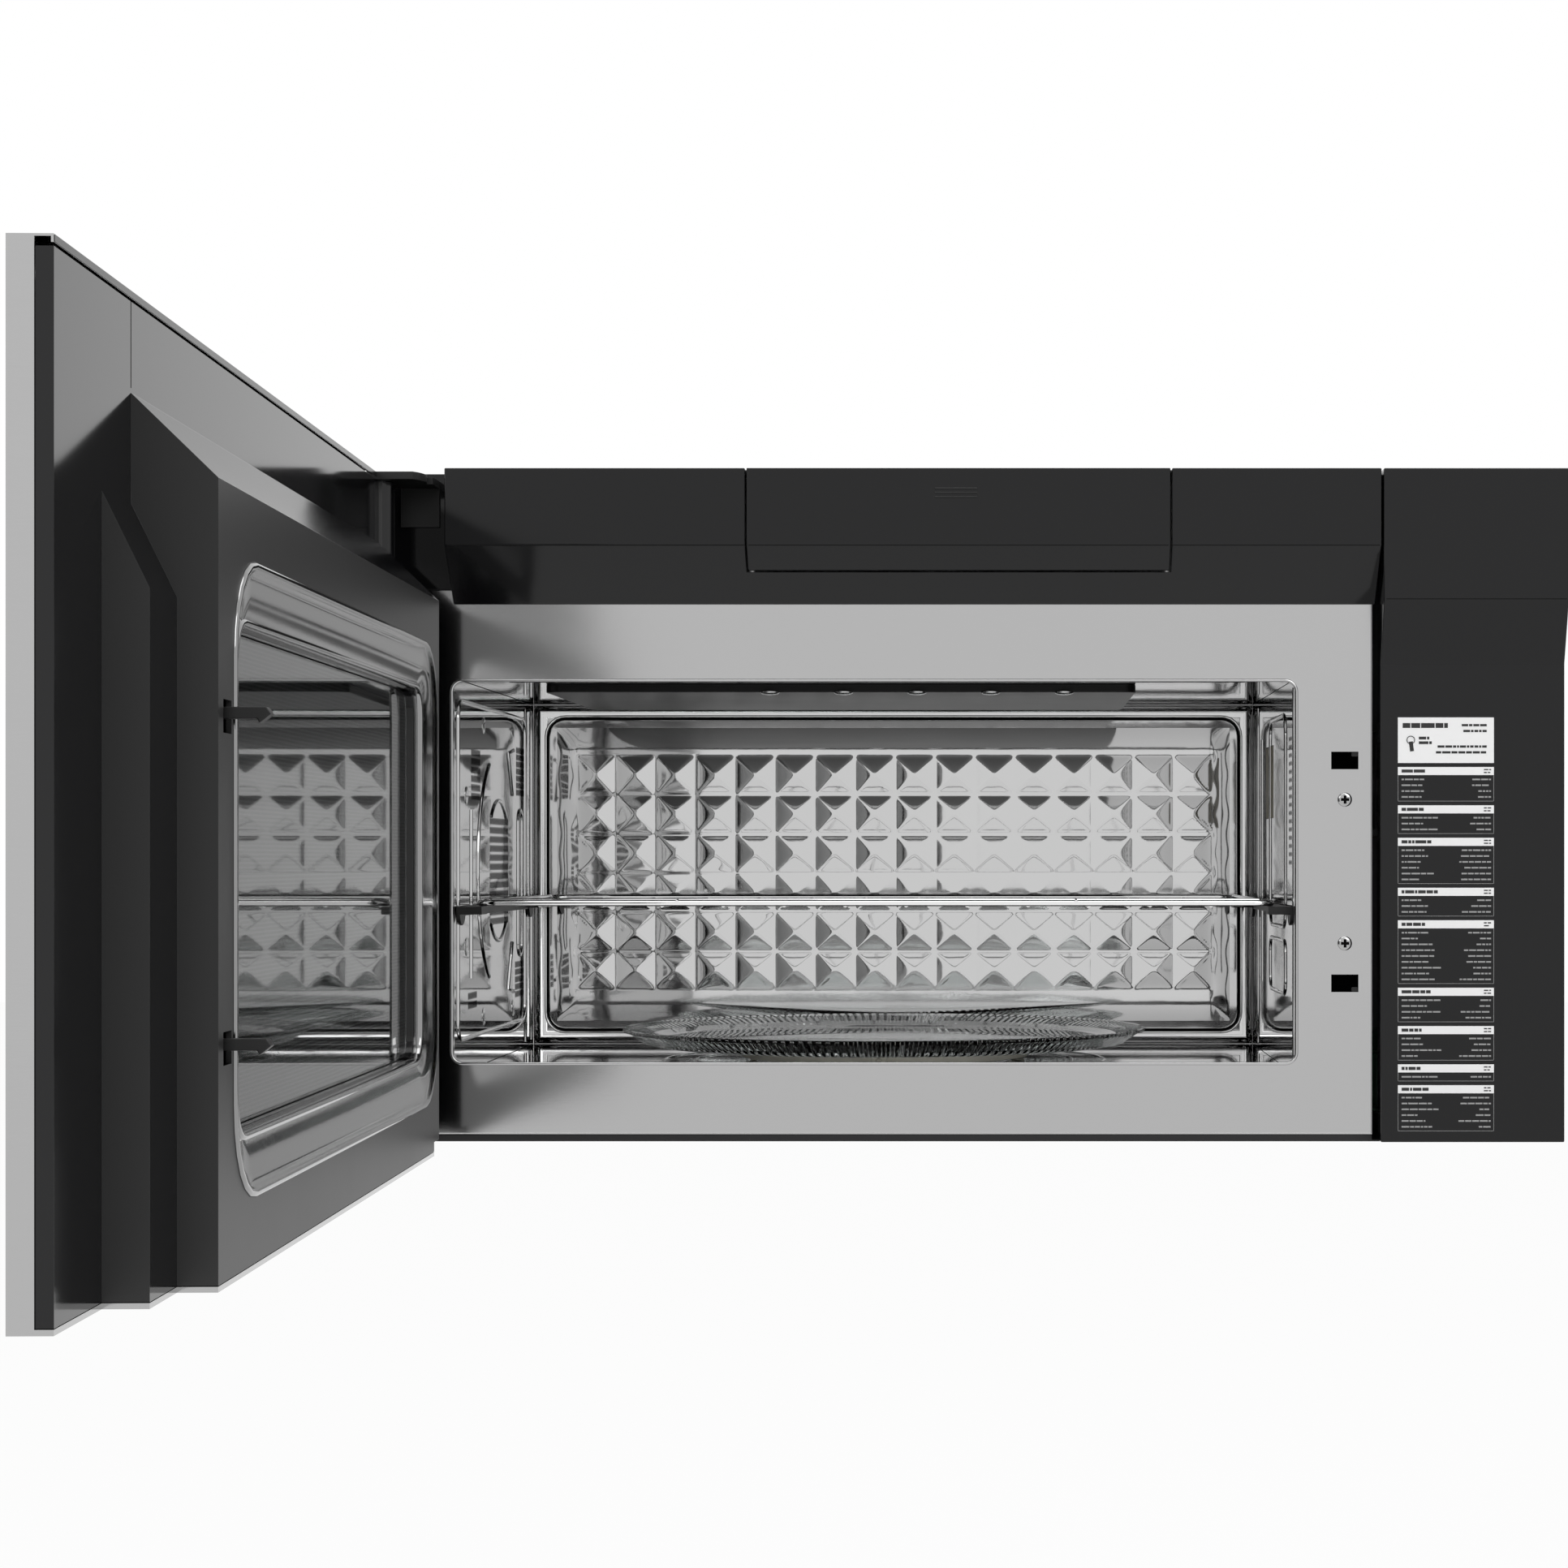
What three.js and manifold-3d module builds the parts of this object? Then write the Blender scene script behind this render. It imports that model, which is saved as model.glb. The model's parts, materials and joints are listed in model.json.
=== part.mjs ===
// Over the range microwave with a full-width door, standing open to the left.
// Millimetres, +Z up, front towards -Y. The origin is on the wall, at the centre of the mounting plate.
// In the body group x runs from the centre, z from the body's bottom; "out" is the distance from the wall.

import * as THREE from 'three';
import { mergeVertices } from 'three/addons/utils/BufferGeometryUtils.js';
import Module from 'manifold-3d';

const wasm = await Module();
wasm.setup();

// ---- Driving dimensions ----

const bodyWidth = 759;
const bodyHeight = 417.5;
const faceOut = 380; // wall to the stainless face
const sheet = 1; // body sheet metal
const linerSheet = 0.8; // cavity sheet metal
const fit = 0.3; // gap kept between pieces that touch
const running = 0.4; // gap round anything that turns
const beyond = 1; // how far a cut runs past the face it opens

// mounting plate
const plateThickness = 1.6;
const plateWidth = 720;
const plateMargin = 23.75; // plate's edge inside the body's top and bottom
const plateHoleSpacing = 406.4; // two wall studs, 16 inches apart
const plateHoleRise = 130;
const plateHoleRadius = 3.5;
const hookWidth = 40;
const hookSpacing = 500;
const hookInset = 6.25; // hooks above the plate's lower edge
const hookLip = 11; // height of the upturned lip
const hookSlotPlay = 2;
const hookSlotDrop = 4;

// screw seats for the cabinet above
const seatSpacing = 560;
const seatSetback = 50; // behind the face
const seatRadius = 14;
const seatRise = 1;
const seatHole = 3.2;

// cord gland
const glandInset = 59.5; // from the body's right side
const glandOut = 60;
const glandNeck = 10.7;
const glandFlange = 14;
const glandBore = 5;
const glandFlangeThickness = 3;
const glandStand = 3; // neck above the top panel

// front frame and its openings
const frameBottom = 4.5;
const frameGap = 3.4; // frame's edge to the column
const openingInset = 65.3; // body's left side to the opening
const openingBottom = 48.7;
const openingHeadroom = 128.8; // opening to the body's top
const openingCorner = 7;
const rimProud = 0.5;
const rimDepth = 10;
const latchInset = 17; // latch slots to the frame's right edge
const latchMargin = 30.2; // opening to the latch slots
const latchSlotWidth = 17;
const latchSlotHeight = 11;
const latchRise = 50.3; // lower slot above the opening's foot
const latchSpacing = 139.5;
const screwRise = 25; // lower screw above the lower slot
const screwSpacing = 90;
const screwRadius = 1.9;
const screwHeadRadius = 4.5;
const screwHeadHeight = 1.2;
const screwLength = 14;

// cavity
const cavityBackSpace = 18; // wall to the cavity's back
const cavitySide = 1.8; // how far the walls stand outside the opening
const cavityFloorDrop = 8.7; // floor below the opening
const cavityCeilingRise = 2.4; // ceiling above the opening
const bossPitchX = 29.6;
const bossPitchZ = 29.1;
const bossHeight = 7;
const bossGap = 1.6;
const bossMarginX = 29; // least flat border beside the pyramids
const bossFieldInset = 30.4; // cavity's left wall to the first column
const bossFieldRise = 39.4; // floor to the first row
const bossMarginTop = 37;
const backPanelStep = 2;
const backPanelInset = 5;
const backPanelCorner = 12;
const wallEmboss = 1.6;
const wallHoleRadius = 3.5;
const outletPitch = 12;
const intakePitch = 19;
const ceilingStuds = 5;
const ceilingStudPitch = 48;
const ceilingStudRadius = 6;
const ceilingStudHeight = 1.2;
const ceilingStudSetback = 110;

// microwave feed and cavity lamp, in the right wall
const feedOut = 170;
const feedDrop = 61.1; // below the ceiling
const feedWidth = 60;
const feedRise = 50;
const lampHoleSetback = 70; // behind the face
const lampHoleDrop = 74.1; // below the ceiling
const lampHoleRadius = 3;
const lampHolePitch = 10;

// vent fascia
const fasciaInset = 66.5; // body's left side to the fascia's end
const fasciaSeam = 1.4; // fascia to the column
const fasciaProud = 33;
const fasciaBrow = 47.5; // crease below the body's top
const fasciaDrop = 82; // where the bevel meets the face, below the body's top
const fasciaWall = 2.5;
const fasciaFlange = 3;
const flangeDrop = 72.5;
const filterDoorInset = 186; // fascia's left end to the filter door
const filterDoorWidth = 261;
const filterDoorDrop = 61.7;
const filterSeam = 1;
const filterDoorLip = 6;
const charcoalThickness = 14;
const charcoalMarginX = 9;
const charcoalMarginFoot = 2.5;
const charcoalMarginTop = 8;

// right column
const columnWidth = 114.1;
const columnProudTop = 33;
const columnProudLow = 17;
const columnBevelDrop = 80.5; // bevel's top below the body's top
const columnBevelRise = 39;
const columnFoot = 1;

// door
const openAngle = 88.24; // degrees, as photographed
const hingeInset = 28.5; // body's left side to the hinge axis
const hingeProud = 38; // hinge axis in front of the face
const doorEdgeInset = 1; // door's hinge edge inside the body's left side
const doorEdgeGap = 0.5; // free edge inside the body's right side
const doorTopDrop = 5;
const doorBottom = -3.5;
const doorThickness = 18;
const linerThickness = 7;
const doorHem = 3.3;
const doorHemGap = 1.3;
const doorFlange = 2.4;
const boxLeft = 3;
const boxGap = 2.9; // box's end to the column
const boxDepth = 36;
const boxChamferDrop = 42.5;
const boxChamferRise = 35;
const padWidth = 46.5;
const padDepth = 19;
const padSlopeDrop = 88.5;
const padSlopeRise = 39;
const linerWall = 2.5;
const windowInset = 9.2; // opening's left side to the window
const windowInsetRight = 10.8;
const windowInsetBottom = 9.3;
const windowInsetTop = 11.7;
const windowCorner = 14;
const windowRecess = 13;
const trimBand = 29;
const trimThickness = 0.8;
const trimSeat = 0.9; // how deep the trim lies in the liner
const innerGlassThickness = 2;
const screenReach = 6; // screen beyond the window
const frontGlassThickness = 4;
const frontGlassMargin = 21.5;
const frontGlassBottom = 22;
const frontGlassDrop = 24.5; // below the door's top
const boardWidth = 92;
const boardThickness = 1.6;
const boardInset = 12; // from the front glass's end
const boardMarginBottom = 30;
const boardMarginTop = 20;
const hookReach = 19; // latch hooks beyond the box
const hookHalfWidth = 3.5;
const latchHole = 8; // half the width of the liner's latch holes

// hinges
const hingeDiscRadius = 28;
const hingeDiscThickness = 4.6;
const hingeDiscFront = 16.5;
const hingeDiscRise = 0.1; // disc above the door's top
const hingeNotch = 29;
const upperArmLeft = 6;
const upperArmRight = 30;
const upperArmReach = 10; // arm's end behind the axis
const upperFootHeight = 24;
const upperFootThickness = 2;
const lowerDiscBottom = 0.5;
const lowerDiscRadius = 20;
const lowerDiscThickness = 4;
const lowerNotch = 42.5;
const lowerArmLeft = 4;
const lowerArmRight = 18;
const lowerArmReach = 8;
const lowerFootHeight = 12.5;
const lowerFootThickness = 1.1;
const pinRadius = 4;
const pinLength = 28;
const knuckleRadius = 8.5;
const knuckleLength = 46;
const lowerKnuckleRise = 6;
const lowerKnuckleLength = 36;

// turntable
const plateBackGap = 2.5; // plate to the cavity's back panel
const plateRadius = 178;
const plateUnderside = 10.7; // above the floor
const plateRim = 7.9;
const plateWeb = 4.5;
const plateFoot = 14; // rim's slope, in from the edge
const plateLugHeight = 4;
const couplerStem = 6;
const couplerHub = 12;
const couplerReach = 24;
const couplerArmHeight = 5;
const turntableMotorRadius = 25;
const turntableMotorHeight = 18;
const turntableMotorEars = 34;
const rollerTrack = 104;
const rollerWidth = 8;
const rollerAxle = 1.5;
const ringBand = 6;
const ringGap = 2; // ring to the rollers
const ringThickness = 5;

// rack
const rackRise = 100.3; // above the opening's foot
const rackWire = 2;
const rackThinWire = 1.4;
const rackSideGap = 13; // cavity wall to rack
const rackSetback = 15; // behind the face
const rackBack = 40;
const rackBars = 12;
const rackTieSetback = 14;
const restRadius = 12; // half-round rests under the rack's corners
const restReach = 5; // rest beyond the rack's side
const restSetback = 24; // rear rest from the rack's back
const railThickness = 1.5;
const railHeight = 6;

// convection unit
const convectionOut = 185;
const convectionRise = 128; // above the floor
const convectionPanDepth = 28;
const convectionPanReach = 102;
const convectionRingOuter = 83;
const convectionRingInner = 76;
const convectionFanRadius = 68;
const convectionFanWidth = 14;
const convectionFanGap = 6;
const convectionFanHub = 12;
const convectionFanBlades = 8;
const convectionHeaterRadius = 84;
const convectionHeaterRod = 3.2;
const convectionMotorRadius = 32;

// vent blower
const blowerOut = 116;
const blowerDrop = 63.5; // below the body's top
const blowerHalfWidth = 128;
const blowerBore = 52;
const blowerCase = 6;
const blowerWheelRadius = 46;
const blowerWheelHalfWidth = 58;
const blowerBlades = 14;
const blowerBladeDepth = 8;
const blowerMotorRadius = 30;
const blowerShaftEnd = 18;

// exhaust adaptor
const ductWidth = 254;
const ductDepth = 82.5;
const ductHeight = 22;
const ductWall = 1.2;
const ductFlange = 10;
const ductFlangeThickness = 1.5;
const flapGap = 3;

// magnetron and its waveguide
const guideDepth = 25;
const guideHalfWidth = 50;
const guideHalfHeight = 40;
const antennaRadius = 11;
const antennaReach = 16;
const magnetronLength = 78;
const magnetronHalfWidth = 38;
const magnetronHalfHeight = 38;
const magnetronFins = 6;
const magnetronFinPitch = 10;

// inverter power supply
const inverterInset = 14; // from the body's right side
const inverterWidth = 120;
const inverterBack = 200;
const inverterDepth = 130;
const inverterStandoff = 14;
const inverterBoard = 2;
const inverterFins = 7;
const inverterFinPitch = 6;

// lamps
const bulbRadius = 9;
const socketRadius = 12;
const bulbLength = 22;

// underside
const greaseFilterWidth = 255;
const greaseFilterDepth = 140;
const greaseFilterThickness = 8;
const greaseFilterOut = 40;
const greaseFilterOffset = 175;
const greaseFilterRise = 0.2;
const lampCoverWidth = 90;
const lampCoverDepth = 70;
const lampCoverOut = 250;
const lampCoverThickness = 2.4;
const cooktopLampDrop = 13;

// ---- Values worked out from them ----

const side = bodyWidth / 2;
const hookHeight = plateMargin + hookInset;
const panelBack = plateThickness + running;
const panelFront = panelBack + sheet;
const shellBack = panelFront + fit;
const topUnderside = bodyHeight - sheet;
const frameTop = topUnderside - fit;
const columnLeft = side - columnWidth;
const frameRight = columnLeft - frameGap;
const latchX = frameRight - latchInset;
const openingLeft = openingInset - side;
const openingRight = latchX - latchMargin;
const openingTop = bodyHeight - openingHeadroom;
const latchLow = openingBottom + latchRise;
const latchHeights = [latchLow, latchLow + latchSpacing];
const screwHeights = [latchLow + screwRise, latchLow + screwRise + screwSpacing];
const cavityLeft = openingLeft - cavitySide;
const cavityRight = openingRight + cavitySide;
const cavityFloor = openingBottom - cavityFloorDrop;
const cavityCeiling = openingTop + cavityCeilingRise;
const cavityBack = cavityBackSpace;
const frameBack = faceOut - sheet;
const linerFront = frameBack - fit;
const bossFieldLeft = cavityLeft + bossFieldInset;
const bossFieldBottom = cavityFloor + bossFieldRise;
const bossColumns = Math.floor((cavityRight - cavityLeft - 2 * bossMarginX) / bossPitchX);
const bossRows = Math.floor((cavityCeiling - bossMarginTop - bossFieldBottom) / bossPitchZ);
const feedHeight = cavityCeiling - feedDrop;
const lampHoleOut = faceOut - lampHoleSetback;
const lampHoleHeight = cavityCeiling - lampHoleDrop;
const glandX = side - glandInset;
const fasciaLeft = fasciaInset - side;
const fasciaRight = columnLeft - fasciaSeam;
const fasciaCrease = bodyHeight - fasciaBrow;
const fasciaFoot = bodyHeight - fasciaDrop;
const filterDoorLeft = fasciaLeft + filterDoorInset;
const filterDoorRight = filterDoorLeft + filterDoorWidth;
const filterDoorFoot = bodyHeight - filterDoorDrop;
const charcoalLeft = filterDoorLeft + charcoalMarginX;
const charcoalRight = filterDoorRight - charcoalMarginX;
const charcoalBottom = filterDoorFoot + charcoalMarginFoot;
const charcoalTop = frameTop - charcoalMarginTop;
const columnBevelTop = bodyHeight - columnBevelDrop;
const columnBevelFoot = columnBevelTop - columnBevelRise;
const hingeX = hingeInset - side;
const hingeOut = faceOut + hingeProud;
const doorHingeEdge = hingeInset - doorEdgeInset;
const doorReach = side - hingeX - doorEdgeGap;
const doorTop = bodyHeight - doorTopDrop;
const boxRight = columnLeft - hingeX - boxGap;
const boxChamferTop = doorTop - boxChamferDrop;
const boxChamferFoot = boxChamferTop - boxChamferRise;
const padRight = boxRight + padWidth;
const padSlopeTop = doorTop - padSlopeDrop;
const padSlopeFoot = padSlopeTop - padSlopeRise;
const windowLeft = openingLeft - hingeX + windowInset;
const windowRight = openingRight - hingeX - windowInsetRight;
const windowBottom = openingBottom + windowInsetBottom;
const windowTop = openingTop - windowInsetTop;
const frontGlassTop = doorTop - frontGlassDrop;
const skinBack = linerThickness + fit;
const linerTop = doorTop - doorHem - doorHemGap;
const linerBottom = doorBottom + doorFlange + fit;
const glassOut = windowRecess - boxDepth; // front of the inner glass, as seen with the door open
const screenBack = glassOut + innerGlassThickness + fit;
const turntableX = (openingLeft + openingRight) / 2;
const turntableOut = cavityBack + backPanelStep + plateBackGap + plateRadius;
const rollerRadius = (plateUnderside - 2 * fit) / 2;
const rollerCentre = cavityFloor + fit + rollerRadius;
const plateBottom = cavityFloor + plateUnderside;
const rackHeight = openingBottom + rackRise;
const rackFront = faceOut - rackSetback;
const convectionHeight = cavityFloor + convectionRise;
const panRight = cavityLeft - linerSheet - fit;
const panLeft = panRight - convectionPanDepth;
const blowerHeight = bodyHeight - blowerDrop;
const ductBack = blowerOut - ductDepth / 2;

// ---- Finishes ----

function finish(colour, roughness, metalness) {
  return new THREE.MeshStandardMaterial({ color: colour, roughness, metalness });
}

const stainless = finish(0xb4b4b4, 0.32, 1);
const polished = finish(0xc8c8c8, 0.12, 1);
const galvanised = finish(0x9c9fa1, 0.5, 1);
const blackSheet = finish(0x1c1c1d, 0.5, 0.3);
const glossBlack = finish(0x1b1b1c, 0.12, 0);
const mattBlack = finish(0x161616, 0.6, 0);
const chrome = finish(0xd4d4d4, 0.08, 1);
const clearGlass = finish(0xcfd6d6, 0.05, 0);
const darkGlass = finish(0x0c0d0e, 0.04, 0);
const palePlastic = finish(0xc9c5ba, 0.55, 0);
const charcoal = finish(0x232323, 0.9, 0);
const filterMesh = finish(0xa9abab, 0.45, 1);
const greenBoard = finish(0x20402c, 0.6, 0);
const bronze = finish(0x8c7a5c, 0.45, 1);
const mica = finish(0xb9b29c, 0.6, 0);

// ---- Shape helpers ----

function solidOf(geometry) {
  geometry.deleteAttribute('normal');
  geometry.deleteAttribute('uv');
  const merged = mergeVertices(geometry, 1e-4);
  const vertProperties = new Float32Array(merged.attributes.position.array);
  const triVerts = new Uint32Array(merged.index.array);
  return new wasm.Manifold(new wasm.Mesh({ numProp: 3, vertProperties, triVerts }));
}

function join(first, ...others) {
  return others.reduce((whole, other) => whole.add(other), first);
}

function cut(first, ...others) {
  return others.reduce((whole, other) => whole.subtract(other), first);
}

// A box between two x, two distances from the wall and two heights.
function block(x0, x1, out0, out1, z0, z1) {
  const geometry = new THREE.BoxGeometry(x1 - x0, out1 - out0, z1 - z0);
  geometry.translate((x0 + x1) / 2, -(out0 + out1) / 2, (z0 + z1) / 2);
  return solidOf(geometry);
}

function extruded(shape, depth, xAxis, yAxis, zAxis, place, segments) {
  const geometry = new THREE.ExtrudeGeometry(shape, { depth, bevelEnabled: false, curveSegments: segments });
  const basis = new THREE.Matrix4().makeBasis(xAxis, yAxis, zAxis).setPosition(place);
  geometry.applyMatrix4(basis);
  return solidOf(geometry);
}

const unitX = new THREE.Vector3(1, 0, 0);
const unitY = new THREE.Vector3(0, 1, 0);
const unitZ = new THREE.Vector3(0, 0, 1);
const unitFront = new THREE.Vector3(0, -1, 0);

// A profile of [out, z] points, drawn out along x.
function alongX(points, x0, x1) {
  const shape = new THREE.Shape(points.map(([out, z]) => new THREE.Vector2(-out, z)));
  return extruded(shape, x1 - x0, unitY, unitZ, unitX, new THREE.Vector3(x0, 0, 0), 1);
}

// A shape drawn in x and z, drawn out towards the front.
function alongOut(shape, out0, out1, segments = 4) {
  return extruded(shape, out1 - out0, unitX, unitZ, unitFront, new THREE.Vector3(0, -out0, 0), segments);
}

function roundedRect(x0, x1, z0, z1, radius) {
  const shape = new THREE.Shape();
  shape.moveTo(x0 + radius, z0);
  shape.lineTo(x1 - radius, z0);
  shape.absarc(x1 - radius, z0 + radius, radius, -Math.PI / 2, 0, false);
  shape.lineTo(x1, z1 - radius);
  shape.absarc(x1 - radius, z1 - radius, radius, 0, Math.PI / 2, false);
  shape.lineTo(x0 + radius, z1);
  shape.absarc(x0 + radius, z1 - radius, radius, Math.PI / 2, Math.PI, false);
  shape.lineTo(x0, z0 + radius);
  shape.absarc(x0 + radius, z0 + radius, radius, Math.PI, Math.PI * 1.5, false);
  return shape;
}

function rodZ(x, out, z0, z1, radius, sides = 24) {
  const geometry = new THREE.CylinderGeometry(radius, radius, z1 - z0, sides);
  geometry.rotateX(Math.PI / 2);
  geometry.translate(x, -out, (z0 + z1) / 2);
  return solidOf(geometry);
}

function rodX(x0, x1, out, z, radius, sides = 24) {
  const geometry = new THREE.CylinderGeometry(radius, radius, x1 - x0, sides);
  geometry.rotateZ(Math.PI / 2);
  geometry.translate((x0 + x1) / 2, -out, z);
  return solidOf(geometry);
}

function rodOut(x, z, out0, out1, radius, sides = 24) {
  const geometry = new THREE.CylinderGeometry(radius, radius, out1 - out0, sides);
  geometry.translate(x, -(out0 + out1) / 2, z);
  return solidOf(geometry);
}

// A turned profile of [radius, z] points about a vertical axis.
function turned(x, out, points, sides) {
  const geometry = new THREE.LatheGeometry(points.map(([r, z]) => new THREE.Vector2(r, z)), sides);
  geometry.rotateX(Math.PI / 2);
  geometry.translate(x, -out, 0);
  return solidOf(geometry);
}

const microwave = new THREE.Group();
const body = new THREE.Group();
body.position.z = -bodyHeight / 2;
microwave.add(body);

const door = new THREE.Group();
door.position.set(hingeX, -hingeOut, 0);
door.rotation.z = -THREE.MathUtils.degToRad(openAngle);
body.add(door);

function piece(name, solid, material, parent = body) {
  const { numProp, vertProperties, triVerts } = solid.getMesh();
  const geometry = new THREE.BufferGeometry();
  geometry.setAttribute('position', new THREE.BufferAttribute(vertProperties, numProp));
  geometry.setIndex(new THREE.BufferAttribute(triVerts, 1));
  geometry.computeVertexNormals();
  const mesh = new THREE.Mesh(geometry, material);
  mesh.name = name;
  parent.add(mesh);
}

// ---- Mounting plate and shell ----

function addMountingPlate() {
  const middle = bodyHeight / 2;
  const half = plateWidth / 2;
  let plate = block(-half, half, 0, plateThickness, plateMargin, bodyHeight - plateMargin);
  for (const x of [-plateHoleSpacing / 2, plateHoleSpacing / 2]) {
    for (const rise of [-plateHoleRise, plateHoleRise]) {
      plate = cut(plate, rodOut(x, middle + rise, -beyond, plateThickness + beyond, plateHoleRadius, 12));
    }
  }
  const lipBack = panelFront + running;
  const lipFront = lipBack + plateThickness;
  for (const x of [-hookSpacing / 2, hookSpacing / 2]) {
    const x0 = x - hookWidth / 2;
    const x1 = x + hookWidth / 2;
    const shelf = block(x0, x1, plateThickness / 2, lipFront, hookHeight, hookHeight + plateThickness);
    const lip = block(x0, x1, lipBack, lipFront, hookHeight, hookHeight + hookLip);
    plate = join(plate, shelf, lip);
  }
  piece('wall_mounting_plate', plate, galvanised);
}

function addShell() {
  const slotTop = hookHeight + plateThickness + fit;
  const slotFoot = hookHeight - hookSlotDrop;
  const slotHalf = hookWidth / 2 + hookSlotPlay;
  let rear = block(-side, side, panelBack, panelFront, 0, bodyHeight);
  for (const x of [-hookSpacing / 2, hookSpacing / 2]) {
    rear = cut(rear, block(x - slotHalf, x + slotHalf, 0, panelFront + beyond, slotFoot, slotTop));
  }
  piece('rear_panel', rear, galvanised);

  let base = block(-side, side, shellBack, faceOut, 0, sheet);
  base = join(base, block(-side, frameRight, frameBack, faceOut, 0, frameBottom - fit));
  for (const x of [-greaseFilterOffset, greaseFilterOffset]) {
    const half = greaseFilterWidth / 2 + running;
    const back = greaseFilterOut - running;
    const front = greaseFilterOut + greaseFilterDepth + running;
    base = cut(base, block(x - half, x + half, back, front, -beyond, sheet + beyond));
  }
  const lampHalf = lampCoverWidth / 2 + running;
  const lampFront = lampCoverOut + lampCoverDepth + running;
  base = cut(base, block(-lampHalf, lampHalf, lampCoverOut - running, lampFront, -beyond, sheet + beyond));
  piece('base_panel', base, blackSheet);

  const sideBottom = sheet + fit;
  const leftPanel = block(-side, sheet - side, shellBack, linerFront, sideBottom, frameTop);
  const rightPanel = block(side - sheet, side, shellBack, linerFront, sideBottom, frameTop);
  piece('side_panel_left', leftPanel, blackSheet);
  piece('side_panel_right', rightPanel, blackSheet);

  const above = bodyHeight + beyond;
  const under = topUnderside - beyond;
  const ductHole = block(-ductWidth / 2, ductWidth / 2, ductBack, ductBack + ductDepth, under, above);
  const glandHole = rodZ(glandX, glandOut, under, above, glandNeck + fit);
  let top = cut(block(-side, side, shellBack, faceOut, topUnderside, bodyHeight), ductHole, glandHole);
  const seatOut = faceOut - seatSetback;
  for (const x of [-seatSpacing / 2, seatSpacing / 2]) {
    top = join(top, rodZ(x, seatOut, topUnderside, bodyHeight + seatRise, seatRadius, 32));
    top = cut(top, rodZ(x, seatOut, under, above + seatRise, seatHole, 16));
  }
  piece('top_panel', top, blackSheet);
}

// The flange lies under the top panel and the neck stands up through its hole.
function addCordGland() {
  const flangeTop = topUnderside - fit;
  const flangeBottom = flangeTop - glandFlangeThickness;
  const neckTop = bodyHeight + glandStand;
  const profile = [
    [glandBore, flangeBottom], [glandFlange, flangeBottom], [glandFlange, flangeTop], [glandNeck, flangeTop],
    [glandNeck, neckTop], [glandBore, neckTop], [glandBore, flangeBottom],
  ];
  piece('cord_gland', turned(glandX, glandOut, profile, 20), mattBlack);
}

// ---- Front frame ----

function latchSlot(z, out0, out1) {
  const half = latchSlotWidth / 2;
  return block(latchX - half, latchX + half, out0, out1, z - latchSlotHeight / 2, z + latchSlotHeight / 2);
}

function openingShape(margin) {
  return roundedRect(
    openingLeft - margin, openingRight + margin,
    openingBottom - margin, openingTop + margin,
    openingCorner + margin,
  );
}

function addFrontFrame() {
  const back = frameBack - beyond;
  const front = faceOut + rimProud + beyond;
  let frame = block(-side, frameRight, frameBack, faceOut, frameBottom, frameTop);
  frame = join(frame, alongOut(openingShape(sheet), faceOut - rimDepth, faceOut + rimProud));
  frame = cut(frame, alongOut(openingShape(0), faceOut - rimDepth - beyond, front));
  for (const z of latchHeights) {
    frame = cut(frame, latchSlot(z, back, front));
  }
  for (const z of screwHeights) {
    frame = cut(frame, rodOut(latchX, z, back, front, screwRadius + fit, 12));
  }
  const intake = block(
    charcoalLeft - fit, charcoalRight + fit, back, front, charcoalBottom - fit, charcoalTop + fit,
  );
  piece('front_frame', cut(frame, intake), stainless);

  const headBack = faceOut + fit;
  for (const [index, name] of ['frame_screw_lower', 'frame_screw_upper'].entries()) {
    const z = screwHeights[index];
    const head = rodOut(latchX, z, headBack, headBack + screwHeadHeight, screwHeadRadius, 20);
    const shank = rodOut(latchX, z, faceOut - screwLength, headBack + fit, screwRadius, 12);
    piece(name, join(head, shank), polished);
  }
}

function addLatchHousing() {
  const [low, high] = latchHeights;
  const wall = 4;
  const endWall = 12;
  const half = 16;
  const back = faceOut - hookReach - 9;
  let housing = block(latchX - half, latchX + half, back, linerFront, low - endWall, high + endWall);
  for (const z of latchHeights) {
    housing = cut(housing, latchSlot(z, back + wall, faceOut));
  }
  for (const z of screwHeights) {
    housing = cut(housing, rodOut(latchX, z, faceOut - screwLength - beyond, faceOut, screwRadius + fit, 12));
  }
  piece('latch_housing', housing, mattBlack);
}

// ---- Cavity ----

function addCavity() {
  const outerLeft = cavityLeft - linerSheet;
  const outerRight = cavityRight + linerSheet;
  const outerBack = cavityBack - linerSheet;

  const underside = cavityFloor - linerSheet;
  const floor = block(outerLeft, outerRight, outerBack, linerFront, underside, cavityFloor);
  const hole = rodZ(turntableX, turntableOut, underside - beyond, cavityFloor + beyond, couplerStem + 3, 20);
  piece('cavity_floor', cut(floor, hole), polished);

  const ceilingTop = cavityCeiling + linerSheet;
  let ceiling = block(outerLeft, outerRight, outerBack, linerFront, cavityCeiling, ceilingTop);
  const studOut = faceOut - ceilingStudSetback;
  const studTop = cavityCeiling + linerSheet / 4;
  const studFoot = cavityCeiling - ceilingStudHeight;
  const firstStud = turntableX - 71.3;
  for (let index = 0; index < ceilingStuds; index += 1) {
    const x = firstStud + index * ceilingStudPitch;
    ceiling = join(ceiling, rodZ(x, studOut, studFoot, studTop, ceilingStudRadius, 10));
  }
  piece('cavity_ceiling', ceiling, polished);

  const wallBottom = cavityFloor + fit;
  const wallTop = cavityCeiling - fit;
  addLeftWall(outerLeft, outerBack, wallBottom, wallTop);
  addRightWall(outerRight, outerBack, wallBottom, wallTop);
  addBackWall(outerBack, wallBottom, wallTop);
}

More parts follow.
